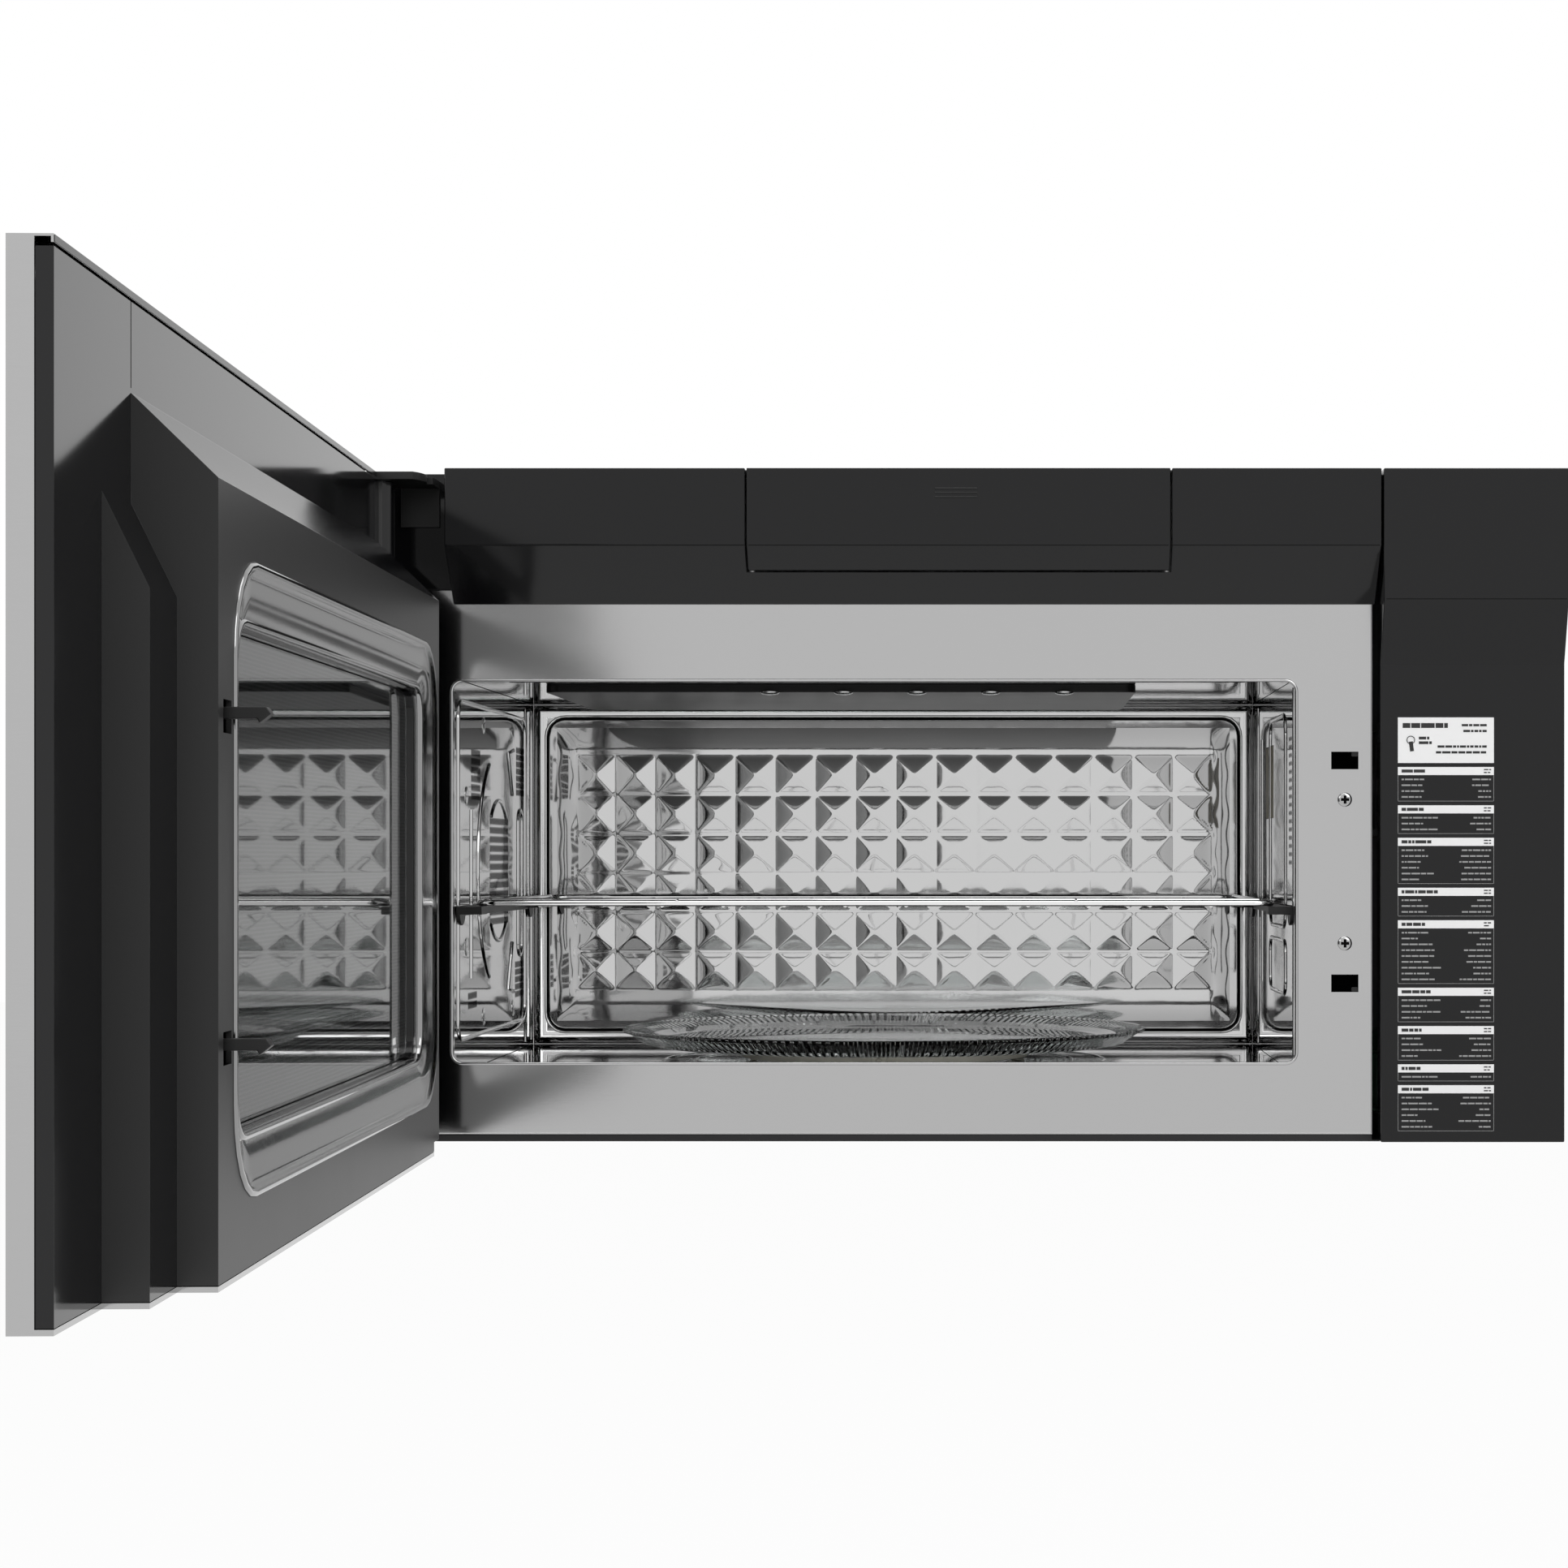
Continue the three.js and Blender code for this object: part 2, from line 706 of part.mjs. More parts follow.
// Round holes in a side wall at [out, z] places.
function perforate(wall, x0, x1, places, radius) {
  return places.reduce((left, [out, z]) => left.subtract(rodX(x0, x1, out, z, radius, 6)), wall);
}

function holeGrid(out, z, columns, rows, pitch) {
  const places = [];
  for (let column = 0; column < columns; column += 1) {
    for (let row = 0; row < rows; row += 1) {
      places.push([out + (column - (columns - 1) / 2) * pitch, z + (row - (rows - 1) / 2) * pitch]);
    }
  }
  return places;
}

// The convection unit sits behind a raised ring, with the intake inside it and the outlets round it.
function addLeftWall(outerLeft, outerBack, wallBottom, wallTop) {
  const out = convectionOut;
  const z = convectionHeight;
  let wall = block(outerLeft, cavityLeft, outerBack, linerFront, wallBottom, wallTop);
  const ring = cut(
    rodX(cavityLeft - linerSheet / 4, cavityLeft + wallEmboss, out, z, convectionRingOuter, 40),
    rodX(cavityLeft - beyond, cavityLeft + wallEmboss + beyond, out, z, convectionRingInner, 40),
  );
  wall = join(wall, ring);
  const holes = [
    ...holeGrid(out, z, 4, 4, intakePitch),
    ...holeGrid(out + 93, z + 65, 2, 3, outletPitch),
    ...holeGrid(out - 110, z + 73, 2, 3, outletPitch),
    ...holeGrid(out - 98, z - 77, 2, 3, outletPitch),
    ...holeGrid(out + 108, z - 84, 2, 2, outletPitch),
  ];
  wall = perforate(wall, outerLeft - beyond, cavityLeft + wallEmboss + beyond, holes, wallHoleRadius);
  piece('cavity_left_wall', wall, polished);
}

function addRightWall(outerRight, outerBack, wallBottom, wallTop) {
  let wall = block(cavityRight, outerRight, outerBack, linerFront, wallBottom, wallTop);
  const out0 = feedOut - feedWidth / 2;
  const out1 = feedOut + feedWidth / 2;
  const z0 = feedHeight - feedRise / 2;
  const z1 = feedHeight + feedRise / 2;
  wall = cut(wall, block(cavityRight - beyond, outerRight + beyond, out0, out1, z0, z1));
  const lampHoles = holeGrid(lampHoleOut, lampHoleHeight, 2, 8, lampHolePitch);
  wall = perforate(wall, cavityRight - beyond, outerRight + beyond, lampHoles, lampHoleRadius);
  piece('cavity_right_wall', wall, polished);
  piece('feed_cover', block(cavityRight, outerRight, out0 + fit, out1 - fit, z0 + fit, z1 - fit), mica);
}

function pyramid(x, z, out) {
  const sunk = 0.3;
  const geometry = new THREE.ConeGeometry(Math.SQRT1_2, bossHeight + sunk, 4, 1);
  geometry.rotateY(Math.PI / 4);
  geometry.scale(bossPitchX - bossGap, 1, bossPitchZ - bossGap);
  geometry.rotateX(Math.PI);
  geometry.translate(x, -(out + (bossHeight - sunk) / 2), z);
  return solidOf(geometry);
}

function addBackWall(outerBack, wallBottom, wallTop) {
  const left = cavityLeft + fit;
  const right = cavityRight - fit;
  const inset = backPanelInset;
  const face = cavityBack + backPanelStep;
  let back = block(left, right, outerBack, cavityBack, wallBottom, wallTop);
  const step = roundedRect(
    left + inset, right - inset, wallBottom + 2 * inset + 1, wallTop - inset - 3, backPanelCorner,
  );
  back = join(back, alongOut(step, cavityBack - linerSheet / 2, face));
  for (let column = 0; column < bossColumns; column += 1) {
    for (let row = 0; row < bossRows; row += 1) {
      const x = bossFieldLeft + (column + 0.5) * bossPitchX;
      const z = bossFieldBottom + (row + 0.5) * bossPitchZ;
      back = join(back, pyramid(x, z, face));
    }
  }
  piece('cavity_back', back, polished);
}

// ---- Fascia, filter door and column ----

// How far the fascia's outer skin stands proud at a height, measured inwards by a wall.
function fasciaProfile(inset) {
  const slope = fasciaProud / (fasciaCrease - fasciaFoot);
  const shift = inset * Math.hypot(1, slope);
  const proud = fasciaProud - inset;
  const foot = fasciaFoot + shift / slope;
  const crease = foot + proud / slope;
  return { proud, foot, crease, slope };
}

function addFascia() {
  const outer = fasciaProfile(0);
  const inner = fasciaProfile(fasciaWall);
  const back = faceOut + fit;
  const front = faceOut + outer.proud;
  const innerFront = faceOut + inner.proud;
  const innerTop = bodyHeight - fasciaWall;
  const skin = alongX(
    [[back, outer.foot + fit], [front, outer.crease], [front, bodyHeight], [back, bodyHeight]],
    fasciaLeft,
    fasciaRight,
  );
  const hollow = alongX(
    [
      [back - beyond, inner.foot - beyond / inner.slope], [innerFront, inner.crease],
      [innerFront, innerTop], [back - beyond, innerTop],
    ],
    fasciaLeft + fasciaWall,
    fasciaRight - fasciaWall,
  );
  const flangeRight = fasciaLeft + fasciaWall / 2;
  const flangeFoot = bodyHeight - flangeDrop;
  const flange = block(-side, flangeRight, back, faceOut + fasciaFlange, flangeFoot, bodyHeight);
  const mouthLeft = filterDoorLeft - filterSeam;
  const mouthRight = filterDoorRight + filterSeam;
  const lipBack = innerFront - filterDoorLip;
  const mouth = block(
    mouthLeft, mouthRight, back - beyond, front + beyond, filterDoorFoot - filterSeam, innerTop,
  );
  const mouthTop = block(
    mouthLeft, mouthRight, lipBack - filterSeam, front + beyond, innerTop - beyond, bodyHeight + beyond,
  );
  piece('upper_fascia', cut(skin, hollow, mouth, mouthTop).add(flange), glossBlack);

  const footFront = faceOut + (filterDoorFoot - outer.foot) * outer.slope;
  const footBack = faceOut + (filterDoorFoot - inner.foot) * inner.slope;
  const filterDoor = alongX(
    [
      [footBack, filterDoorFoot], [footFront, filterDoorFoot], [front, outer.crease], [front, bodyHeight],
      [lipBack, bodyHeight], [lipBack, innerTop], [innerFront, innerTop], [innerFront, inner.crease],
    ],
    filterDoorLeft,
    filterDoorRight,
  );
  piece('filter_door', filterDoor, glossBlack);

  const filterFront = back + charcoalThickness;
  const filter = block(charcoalLeft, charcoalRight, back, filterFront, charcoalBottom, charcoalTop);
  piece('charcoal_filter', filter, charcoal);
}

function columnProfile(back, inset) {
  const low = faceOut + columnProudLow - inset;
  const high = faceOut + columnProudTop - inset;
  const creaseShift = inset / 4;
  return [
    [back, columnFoot + inset], [low, columnFoot + inset], [low, columnBevelFoot + creaseShift],
    [high, columnBevelTop + creaseShift], [high, bodyHeight - inset], [back, bodyHeight - inset],
  ];
}

function addColumn() {
  const back = faceOut + fit;
  const outer = alongX(columnProfile(back, 0), columnLeft, side);
  const inner = alongX(columnProfile(back - beyond, fasciaWall), columnLeft + fasciaWall, side - fasciaWall);
  piece('column_cover', cut(outer, inner), glossBlack);
}

// ---- Hinges ----

function addHinges() {
  const discTop = doorTop + hingeDiscRise;
  const discBottom = discTop - hingeDiscThickness;
  const footOut = faceOut + fasciaFlange + fit;
  const armLeft = hingeX + upperArmLeft;
  const armRight = hingeX + upperArmRight;
  const discFront = block(
    hingeX - hingeDiscRadius - beyond, hingeX + hingeDiscRadius + beyond,
    hingeOut + hingeDiscFront, hingeOut + hingeDiscRadius + beyond,
    discBottom - beyond, discTop + beyond,
  );
  let upper = cut(rodZ(hingeX, hingeOut, discBottom, discTop, hingeDiscRadius, 40), discFront);
  upper = join(
    upper,
    block(armLeft, armRight, footOut, hingeOut - upperArmReach, discBottom, discTop),
    block(armLeft, armRight, footOut, footOut + upperFootThickness, discBottom - upperFootHeight, discTop),
  );
  upper = cut(upper, rodZ(hingeX, hingeOut, discBottom - beyond, discTop + beyond, pinRadius + fit, 20));
  piece('hinge_bracket_top', upper, mattBlack);
  piece('hinge_pin_top', rodZ(hingeX, hingeOut, discBottom - pinLength, discTop, pinRadius, 20), polished);

  const lowBottom = lowerDiscBottom;
  const lowTop = lowBottom + lowerDiscThickness;
  const lowLeft = hingeX + lowerArmLeft;
  const lowRight = hingeX + lowerArmRight;
  const lowBack = faceOut + fit;
  let lower = join(
    rodZ(hingeX, hingeOut, lowBottom, lowTop, lowerDiscRadius, 32),
    block(lowLeft, lowRight, lowBack, hingeOut - lowerArmReach, lowBottom, lowTop),
    block(lowLeft, lowRight, lowBack, lowBack + lowerFootThickness, lowBottom, lowTop + lowerFootHeight),
  );
  lower = cut(lower, rodZ(hingeX, hingeOut, lowBottom - beyond, lowTop + beyond, pinRadius + fit, 20));
  piece('hinge_bracket_bottom', lower, galvanised);
  piece('hinge_pin_bottom', rodZ(hingeX, hingeOut, lowBottom, lowTop + pinLength, pinRadius, 20), polished);
}

// ---- Door, drawn shut about the hinge axis: "out" is now the distance in front of the axis ----

function hingeNotches(solid) {
  const upperFoot = doorTop - hingeDiscThickness - running;
  const lowerTop = lowerDiscBottom + lowerDiscThickness + running;
  const upperNotch = rodZ(0, 0, upperFoot, doorTop + beyond, hingeNotch, 40);
  const lowNotch = rodZ(0, 0, doorBottom - beyond, lowerTop, lowerNotch, 40);
  return cut(solid, upperNotch, lowNotch);
}

function addDoorSkin() {
  const left = -doorHingeEdge;
  const right = doorReach;
  const floor = doorBottom + doorFlange;
  const front = doorThickness;
  const tray = cut(
    block(left, right, skinBack, front, doorBottom, doorTop),
    block(left + sheet, right - sheet, skinBack - beyond, front - sheet, floor, doorTop - sheet),
  );
  const topWall = block(left, right, 0, skinBack + beyond, doorTop - sheet, doorTop);
  const hem = block(left, right, 0, sheet, doorTop - doorHem, doorTop);
  const flangeBack = -boxDepth - beyond;
  const flange = cut(
    block(left, right, -boxDepth, skinBack + beyond, doorBottom, floor),
    block(boxRight + fit, right + beyond, flangeBack, -padDepth, doorBottom - beyond, floor + beyond),
    block(padRight + fit, right + beyond, flangeBack, 0, doorBottom - beyond, floor + beyond),
    block(left - beyond, boxLeft, flangeBack, 0, doorBottom - beyond, floor + beyond),
  );
  const glassLeft = left + frontGlassMargin;
  const glassRight = right - frontGlassMargin;
  const glassHole = block(
    glassLeft, glassRight, front - sheet - beyond, front + beyond, frontGlassBottom, frontGlassTop,
  );
  piece('door_skin', hingeNotches(cut(join(tray, topWall, hem, flange), glassHole)), stainless, door);

  const glass = block(
    glassLeft + fit, glassRight - fit, front - frontGlassThickness, front,
    frontGlassBottom + fit, frontGlassTop - fit,
  );
  piece('door_front_glass', glass, darkGlass, door);

  const boardBack = skinBack + sheet;
  const boardRight = glassRight - boardInset;
  const boardBottom = frontGlassBottom + boardMarginBottom;
  const boardTop = frontGlassTop - boardMarginTop;
  const board = block(
    boardRight - boardWidth, boardRight, boardBack, boardBack + boardThickness, boardBottom, boardTop,
  );
  piece('control_board', board, greenBoard, door);
}

// The raised box and the lower pad beside it, as [out, z] profiles that open towards the skin.
function raisedProfile(depth, foot, top, inset) {
  const front = linerThickness + beyond;
  return [
    [-depth + inset, linerBottom + inset], [-depth + inset, foot], [0, top], [front, top],
    [front, linerBottom + inset],
  ];
}

function boxProfile(inset) {
  const lowered = inset * 0.6;
  return raisedProfile(boxDepth, boxChamferFoot - lowered, boxChamferTop - lowered, inset);
}

function padProfile(inset) {
  return raisedProfile(padDepth, padSlopeFoot - inset, padSlopeTop - inset, inset);
}

function windowShape(margin) {
  return roundedRect(
    windowLeft - margin, windowRight + margin,
    windowBottom - margin, windowTop + margin,
    windowCorner + margin,
  );
}

function addDoorLiner() {
  const knuckleTop = doorTop - hingeDiscThickness - running;
  const knuckleBottom = linerBottom + lowerKnuckleRise;
  let liner = block(-doorHingeEdge + fit, doorReach - fit, 0, linerThickness, linerBottom, linerTop);
  liner = join(
    liner,
    alongX(boxProfile(0), boxLeft, boxRight),
    alongX(padProfile(0), boxRight - beyond, padRight),
    rodZ(0, 0, linerTop - knuckleLength, knuckleTop, knuckleRadius, 24),
    rodZ(0, 0, knuckleBottom, knuckleBottom + lowerKnuckleLength, knuckleRadius, 24),
  );
  const hingeWall = 12;
  liner = cut(
    liner,
    block(-doorHingeEdge, doorReach, linerThickness, linerThickness + 2 * beyond, doorBottom, doorTop),
    alongX(boxProfile(linerWall), boxLeft + hingeWall, boxRight - linerWall),
    alongX(padProfile(linerWall), boxRight + linerWall, padRight - linerWall),
  );
  const seatFloor = trimSeat - boxDepth;
  liner = join(liner, alongOut(windowShape(linerWall), beyond - boxDepth, screenBack, 5));
  liner = cut(
    liner,
    alongOut(windowShape(0), -boxDepth - beyond, screenBack + beyond, 5),
    alongOut(windowShape(trimBand + fit), -boxDepth - beyond, seatFloor, 5),
  );
  const hookX = latchX - hingeX;
  for (const z of latchHeights) {
    const hole = block(hookX - latchHole, hookX + latchHole, -boxDepth - beyond, 6 - boxDepth, z - 9, z + 5);
    liner = cut(liner, hole);
  }
  const topBore = rodZ(0, 0, doorTop - hingeDiscThickness - pinLength - beyond, doorTop, pinRadius + fit, 20);
  const lowBoreTop = lowerDiscBottom + lowerDiscThickness + pinLength + beyond;
  const lowBore = rodZ(0, 0, doorBottom - beyond, lowBoreTop, pinRadius + fit, 20);
  piece('door_liner', hingeNotches(cut(liner, topBore, lowBore)), glossBlack, door);

  const trimFront = seatFloor - fit;
  const trim = cut(
    alongOut(windowShape(trimBand), trimFront - trimThickness, trimFront, 5),
    alongOut(windowShape(0), trimFront - trimThickness - beyond, trimFront + beyond, 5),
  );
  piece('door_window_trim', trim, polished, door);

  const pane = alongOut(windowShape(-fit), glassOut, glassOut + innerGlassThickness, 5);
  piece('door_inner_glass', pane, clearGlass, door);
  const screenOut = screenBack + fit;
  const screen = alongOut(windowShape(screenReach), screenOut, screenOut + linerSheet, 5);
  piece('door_screen', screen, blackSheet, door);
}

function addDoorLatch() {
  const x = latchX - hingeX;
  const inner = linerWall + 2 - boxDepth;
  const tip = -boxDepth - hookReach;
  const [low, high] = latchHeights;
  const barHalf = 5;
  const barDepth = 6;
  let latch = block(x - barHalf, x + barHalf, inner, inner + barDepth, low - barDepth, high + barDepth);
  for (const z of latchHeights) {
    const hook = [
      [inner + 1, z - 3], [tip + 6, z - 3], [tip + 5, z - 5],
      [tip, z - 1], [tip + 2, z + 2], [inner + 1, z + 2],
    ];
    latch = join(latch, alongX(hook, x - hookHalfWidth, x + hookHalfWidth));
  }
  piece('door_latch', latch, mattBlack, door);
}

// ---- Turntable ----

// A bar at an angle about the turntable axis, between two radii.
function radial(degrees, r0, r1, width, z0, z1) {
  const geometry = new THREE.BoxGeometry(r1 - r0, width, z1 - z0);
  geometry.translate((r0 + r1) / 2, 0, (z0 + z1) / 2);
  geometry.rotateZ(THREE.MathUtils.degToRad(degrees));
  geometry.translate(turntableX, -turntableOut, 0);
  return solidOf(geometry);
}

function radialRod(degrees, r0, r1, radius, sides) {
  const geometry = new THREE.CylinderGeometry(radius, radius, r1 - r0, sides);
  geometry.rotateZ(Math.PI / 2);
  geometry.translate((r0 + r1) / 2, 0, rollerCentre);
  geometry.rotateZ(THREE.MathUtils.degToRad(degrees));
  geometry.translate(turntableX, -turntableOut, 0);
  return solidOf(geometry);
}

function addTurntableDrive() {
  const motorTop = cavityFloor - linerSheet - fit;
  const earHalf = 6;
  const boreDepth = 13;
  const stemDepth = boreDepth - 1;
  const stemBore = couplerStem + running;
  const stemHole = rodZ(turntableX, turntableOut, motorTop - boreDepth, motorTop + beyond, stemBore, 20);
  const motor = join(
    rodZ(turntableX, turntableOut, motorTop - turntableMotorHeight, motorTop, turntableMotorRadius, 28),
    block(
      turntableX - turntableMotorEars, turntableX + turntableMotorEars,
      turntableOut - earHalf, turntableOut + earHalf, motorTop - 1.5, motorTop,
    ),
  );
  piece('turntable_motor', cut(motor, stemHole), galvanised);

  const hubTop = plateBottom - fit;
  let coupler = join(
    rodZ(turntableX, turntableOut, motorTop - stemDepth, hubTop, couplerStem, 20),
    rodZ(turntableX, turntableOut, hubTop - couplerArmHeight - 1, hubTop, couplerHub, 20),
  );
  for (let index = 0; index < 3; index += 1) {
    coupler = join(coupler, radial(index * 120, 0, couplerReach, 5, hubTop - couplerArmHeight, hubTop));
  }
  piece('turntable_coupler', coupler, palePlastic);
}

function addRollerRing() {
  const rollerIn = rollerTrack - rollerWidth / 2;
  const rollerOut = rollerTrack + rollerWidth / 2;
  const outer = rollerIn - ringGap;
  const inner = outer - ringBand;
  const ringBottom = rollerCentre - ringThickness / 2;
  const ringTop = rollerCentre + ringThickness / 2;
  let ring = cut(
    rodZ(turntableX, turntableOut, ringBottom, ringTop, outer, 48),
    rodZ(turntableX, turntableOut, ringBottom - beyond, ringTop + beyond, inner, 48),
  );
  for (let index = 0; index < 3; index += 1) {
    const angle = 30 + index * 120;
    ring = join(ring, radialRod(angle, outer - 2, rollerOut + 2, rollerAxle, 12));
    const wheel = radialRod(angle, rollerIn, rollerOut, rollerRadius, 20);
    const bore = radialRod(angle, rollerIn - beyond, rollerOut + beyond, rollerAxle + running, 12);
    piece(`roller_${index + 1}`, cut(wheel, bore), palePlastic);
  }
  piece('roller_ring', ring, palePlastic);
}

function addPlate() {
  const webTop = plateBottom + plateWeb;
  const rimTop = plateBottom + plateRim;
  const profile = [
    [0, plateBottom], [plateRadius - plateFoot, plateBottom], [plateRadius - 2, rimTop - 1.5],
    [plateRadius, rimTop], [plateRadius - 5, rimTop], [plateRadius - plateFoot - 3, webTop], [0, webTop],
  ];
  let plate = turned(turntableX, turntableOut, profile, 64);
  for (let index = 0; index < 3; index += 1) {
    const lug = radial(60 + index * 120, 17, 25, 6, plateBottom - plateLugHeight, plateBottom + 1);
    plate = join(plate, lug);
  }
  piece('turntable_plate', plate, clearGlass);
}

// ---- Rack ----

function addRack() {
  const left = cavityLeft + rackSideGap;
  const right = cavityRight - rackSideGap;
  const x0 = left + rackWire;
  const x1 = right - rackWire;
  let rack = join(
    rodX(left, right, rackFront - rackWire, rackHeight, rackWire, 8),
    rodX(left, right, rackBack + rackWire, rackHeight, rackWire, 8),
    rodX(left, right, rackFront - rackTieSetback, rackHeight + rackWire - 0.5, rackThinWire, 8),
    rodOut(x0, rackHeight, rackBack, rackFront, rackWire, 8),
    rodOut(x1, rackHeight, rackBack, rackFront, rackWire, 8),
  );
  const pitch = (x1 - x0) / (rackBars + 1);
  for (let index = 1; index <= rackBars; index += 1) {
    const x = x0 + index * pitch;
    rack = join(rack, rodOut(x, rackHeight + 1, rackBack + 1, rackFront - 1, rackThinWire, 6));
  }
  piece('wire_rack', rack, chrome);

  addRackSupport('rack_support_left', cavityLeft, 1);
  addRackSupport('rack_support_right', cavityRight, -1);
}

// Two half-round rests on a thin rail along the wall.
function addRackSupport(name, wall, way) {
  const seat = rackHeight - rackWire - fit;
  const near = wall + way * (wallEmboss + fit);
  const railFace = near + way * railThickness;
  const far = wall + way * (rackSideGap + restReach);
  const frontRest = rackFront - restRadius;
  const backRest = rackBack + restSetback;
  const above = block(
    Math.min(near, far) - beyond, Math.max(near, far) + beyond,
    backRest - restRadius - beyond, frontRest + restRadius + beyond, seat, seat + restRadius + beyond,
  );
  let support = block(
    Math.min(near, railFace), Math.max(near, railFace), backRest, frontRest, seat - railHeight, seat,
  );
  for (const out of [backRest, frontRest]) {
    const rest = rodX(Math.min(near, far), Math.max(near, far), out, seat, restRadius, 24);
    support = join(support, cut(rest, above));
  }
  piece(name, support, mattBlack);
}

// ---- Machinery ----

function addConvection() {
  const out = convectionOut;
  const z = convectionHeight;
  const reach = convectionPanReach;
  const inner = reach - sheet;
  const shaftRadius = 3;
  const elementRadius = 3;
  const elementSpacing = 8;
  const elementHeight = z - convectionHeaterRadius;
  const holeLeft = panLeft - beyond;
  const holeRight = panLeft + sheet + beyond;
  const pan = cut(
    block(panLeft, panRight, out - reach, out + reach, z - reach, z + reach),
    block(panLeft + sheet, panRight + beyond, out - inner, out + inner, z - inner, z + inner),
    rodX(holeLeft, holeRight, out, z, 2 * shaftRadius, 16),
    rodX(holeLeft, holeRight, out - elementSpacing, elementHeight, elementRadius + 1, 12),
    rodX(holeLeft, holeRight, out + elementSpacing, elementHeight, elementRadius + 1, 12),
  );
  piece('convection_housing', pan, galvanised);

  const motorRight = panLeft - fit;
  const motorLeft = sheet + 1 - side;
  const shaftDepth = 12;
  const motor = cut(
    rodX(motorLeft, motorRight, out, z, convectionMotorRadius, 28),
    rodX(motorRight - shaftDepth - 1, motorRight + beyond, out, z, shaftRadius + 0.5, 16),
  );
  piece('convection_motor', motor, galvanised);

  const fanLeft = panLeft + convectionFanGap;
  const fanRight = fanLeft + convectionFanWidth;
  let fan = join(
    rodX(motorRight - shaftDepth, fanRight, out, z, shaftRadius, 16),
    rodX(fanLeft, fanRight, out, z, convectionFanHub, 24),
    rodX(fanLeft, fanLeft + sheet, out, z, convectionFanRadius - 14, 32),
  );
  const bladeFoot = convectionFanHub - 4;
  for (let index = 0; index < convectionFanBlades; index += 1) {
    const blade = new THREE.BoxGeometry(convectionFanWidth, 1.2, convectionFanRadius - bladeFoot);
    blade.translate((fanLeft + fanRight) / 2, 0, (convectionFanRadius + bladeFoot) / 2);
    blade.rotateX((index * 2 * Math.PI) / convectionFanBlades);
    blade.translate(0, -out, z);
    fan = join(fan, solidOf(blade));
  }
  piece('convection_fan', fan, galvanised);

  const ring = new THREE.TorusGeometry(convectionHeaterRadius, convectionHeaterRod, 6, 36);
  ring.rotateY(Math.PI / 2);
  const heaterX = (panLeft + panRight) / 2 + 4;
  ring.translate(heaterX, -out, z);
  let heater = solidOf(ring);
  for (const shift of [-elementSpacing, elementSpacing]) {
    heater = join(heater, rodX(panLeft - 6, heaterX, out + shift, elementHeight, elementRadius, 10));
  }
  piece('convection_heater', heater, bronze);
}

function addVentBlower() {
  const out = blowerOut;
  const z = blowerHeight;
  const halfDepth = blowerBore + blowerCase;
  const top = topUnderside - 3;
  const outletHalf = blowerHalfWidth - blowerCase;
  const housing = cut(
    block(-blowerHalfWidth, blowerHalfWidth, out - halfDepth, out + halfDepth, z - halfDepth, top),
    rodX(-blowerHalfWidth - beyond, blowerHalfWidth + beyond, out, z, blowerBore, 48),
    block(
      -outletHalf, outletHalf, ductBack + blowerCase, ductBack + ductDepth - blowerCase,
      z + blowerBore / 2, top + beyond,
    ),
  );
  piece('vent_blower_housing', housing, galvanised);

  const half = blowerWheelHalfWidth;
  const rim = 2;
  const rimBore = blowerWheelRadius - blowerBladeDepth - 1;
  const shaftEnd = half + blowerShaftEnd;
  let wheel = join(
    rodX(-1.5, 1.5, out, z, blowerWheelRadius, 32),
    rodX(-1.5, shaftEnd, out, z, pinRadius, 16),
  );
  for (const end of [-half, half - rim]) {
    const outerRim = rodX(end, end + rim, out, z, blowerWheelRadius, 32);
    const innerRim = rodX(end - beyond, end + rim + beyond, out, z, rimBore, 32);
    wheel = join(wheel, cut(outerRim, innerRim));
  }
  for (let index = 0; index < blowerBlades; index += 1) {
    const blade = new THREE.BoxGeometry(2 * half, 1.4, blowerBladeDepth);
    blade.rotateX(0.5);
    blade.translate(0, 0, blowerWheelRadius - blowerBladeDepth / 2 - 0.8);
    blade.rotateX((index * 2 * Math.PI) / blowerBlades);
    blade.translate(0, -out, z);
    wheel = join(wheel, solidOf(blade));
  }
  piece('vent_blower_wheel', wheel, galvanised);

  const motorLeft = half + 6;
  const motorRight = blowerHalfWidth - 8;
  const spokeFoot = blowerMotorRadius - 10;
  const spokeEnd = blowerBore - 3 * fit;
  let motor = rodX(motorLeft, motorRight, out, z, blowerMotorRadius, 28);
  for (let index = 0; index < 3; index += 1) {
    const spoke = new THREE.BoxGeometry(12, 4, spokeEnd - spokeFoot);
    spoke.translate((motorLeft + motorRight) / 2, 0, (spokeEnd + spokeFoot) / 2);
    spoke.rotateX((index * Math.PI * 2) / 3);
    spoke.translate(0, -out, z);
    motor = join(motor, solidOf(spoke));
  }
  motor = cut(motor, rodX(motorLeft - beyond, shaftEnd + 1, out, z, pinRadius + running, 16));
  piece('vent_blower_motor', motor, galvanised);
}

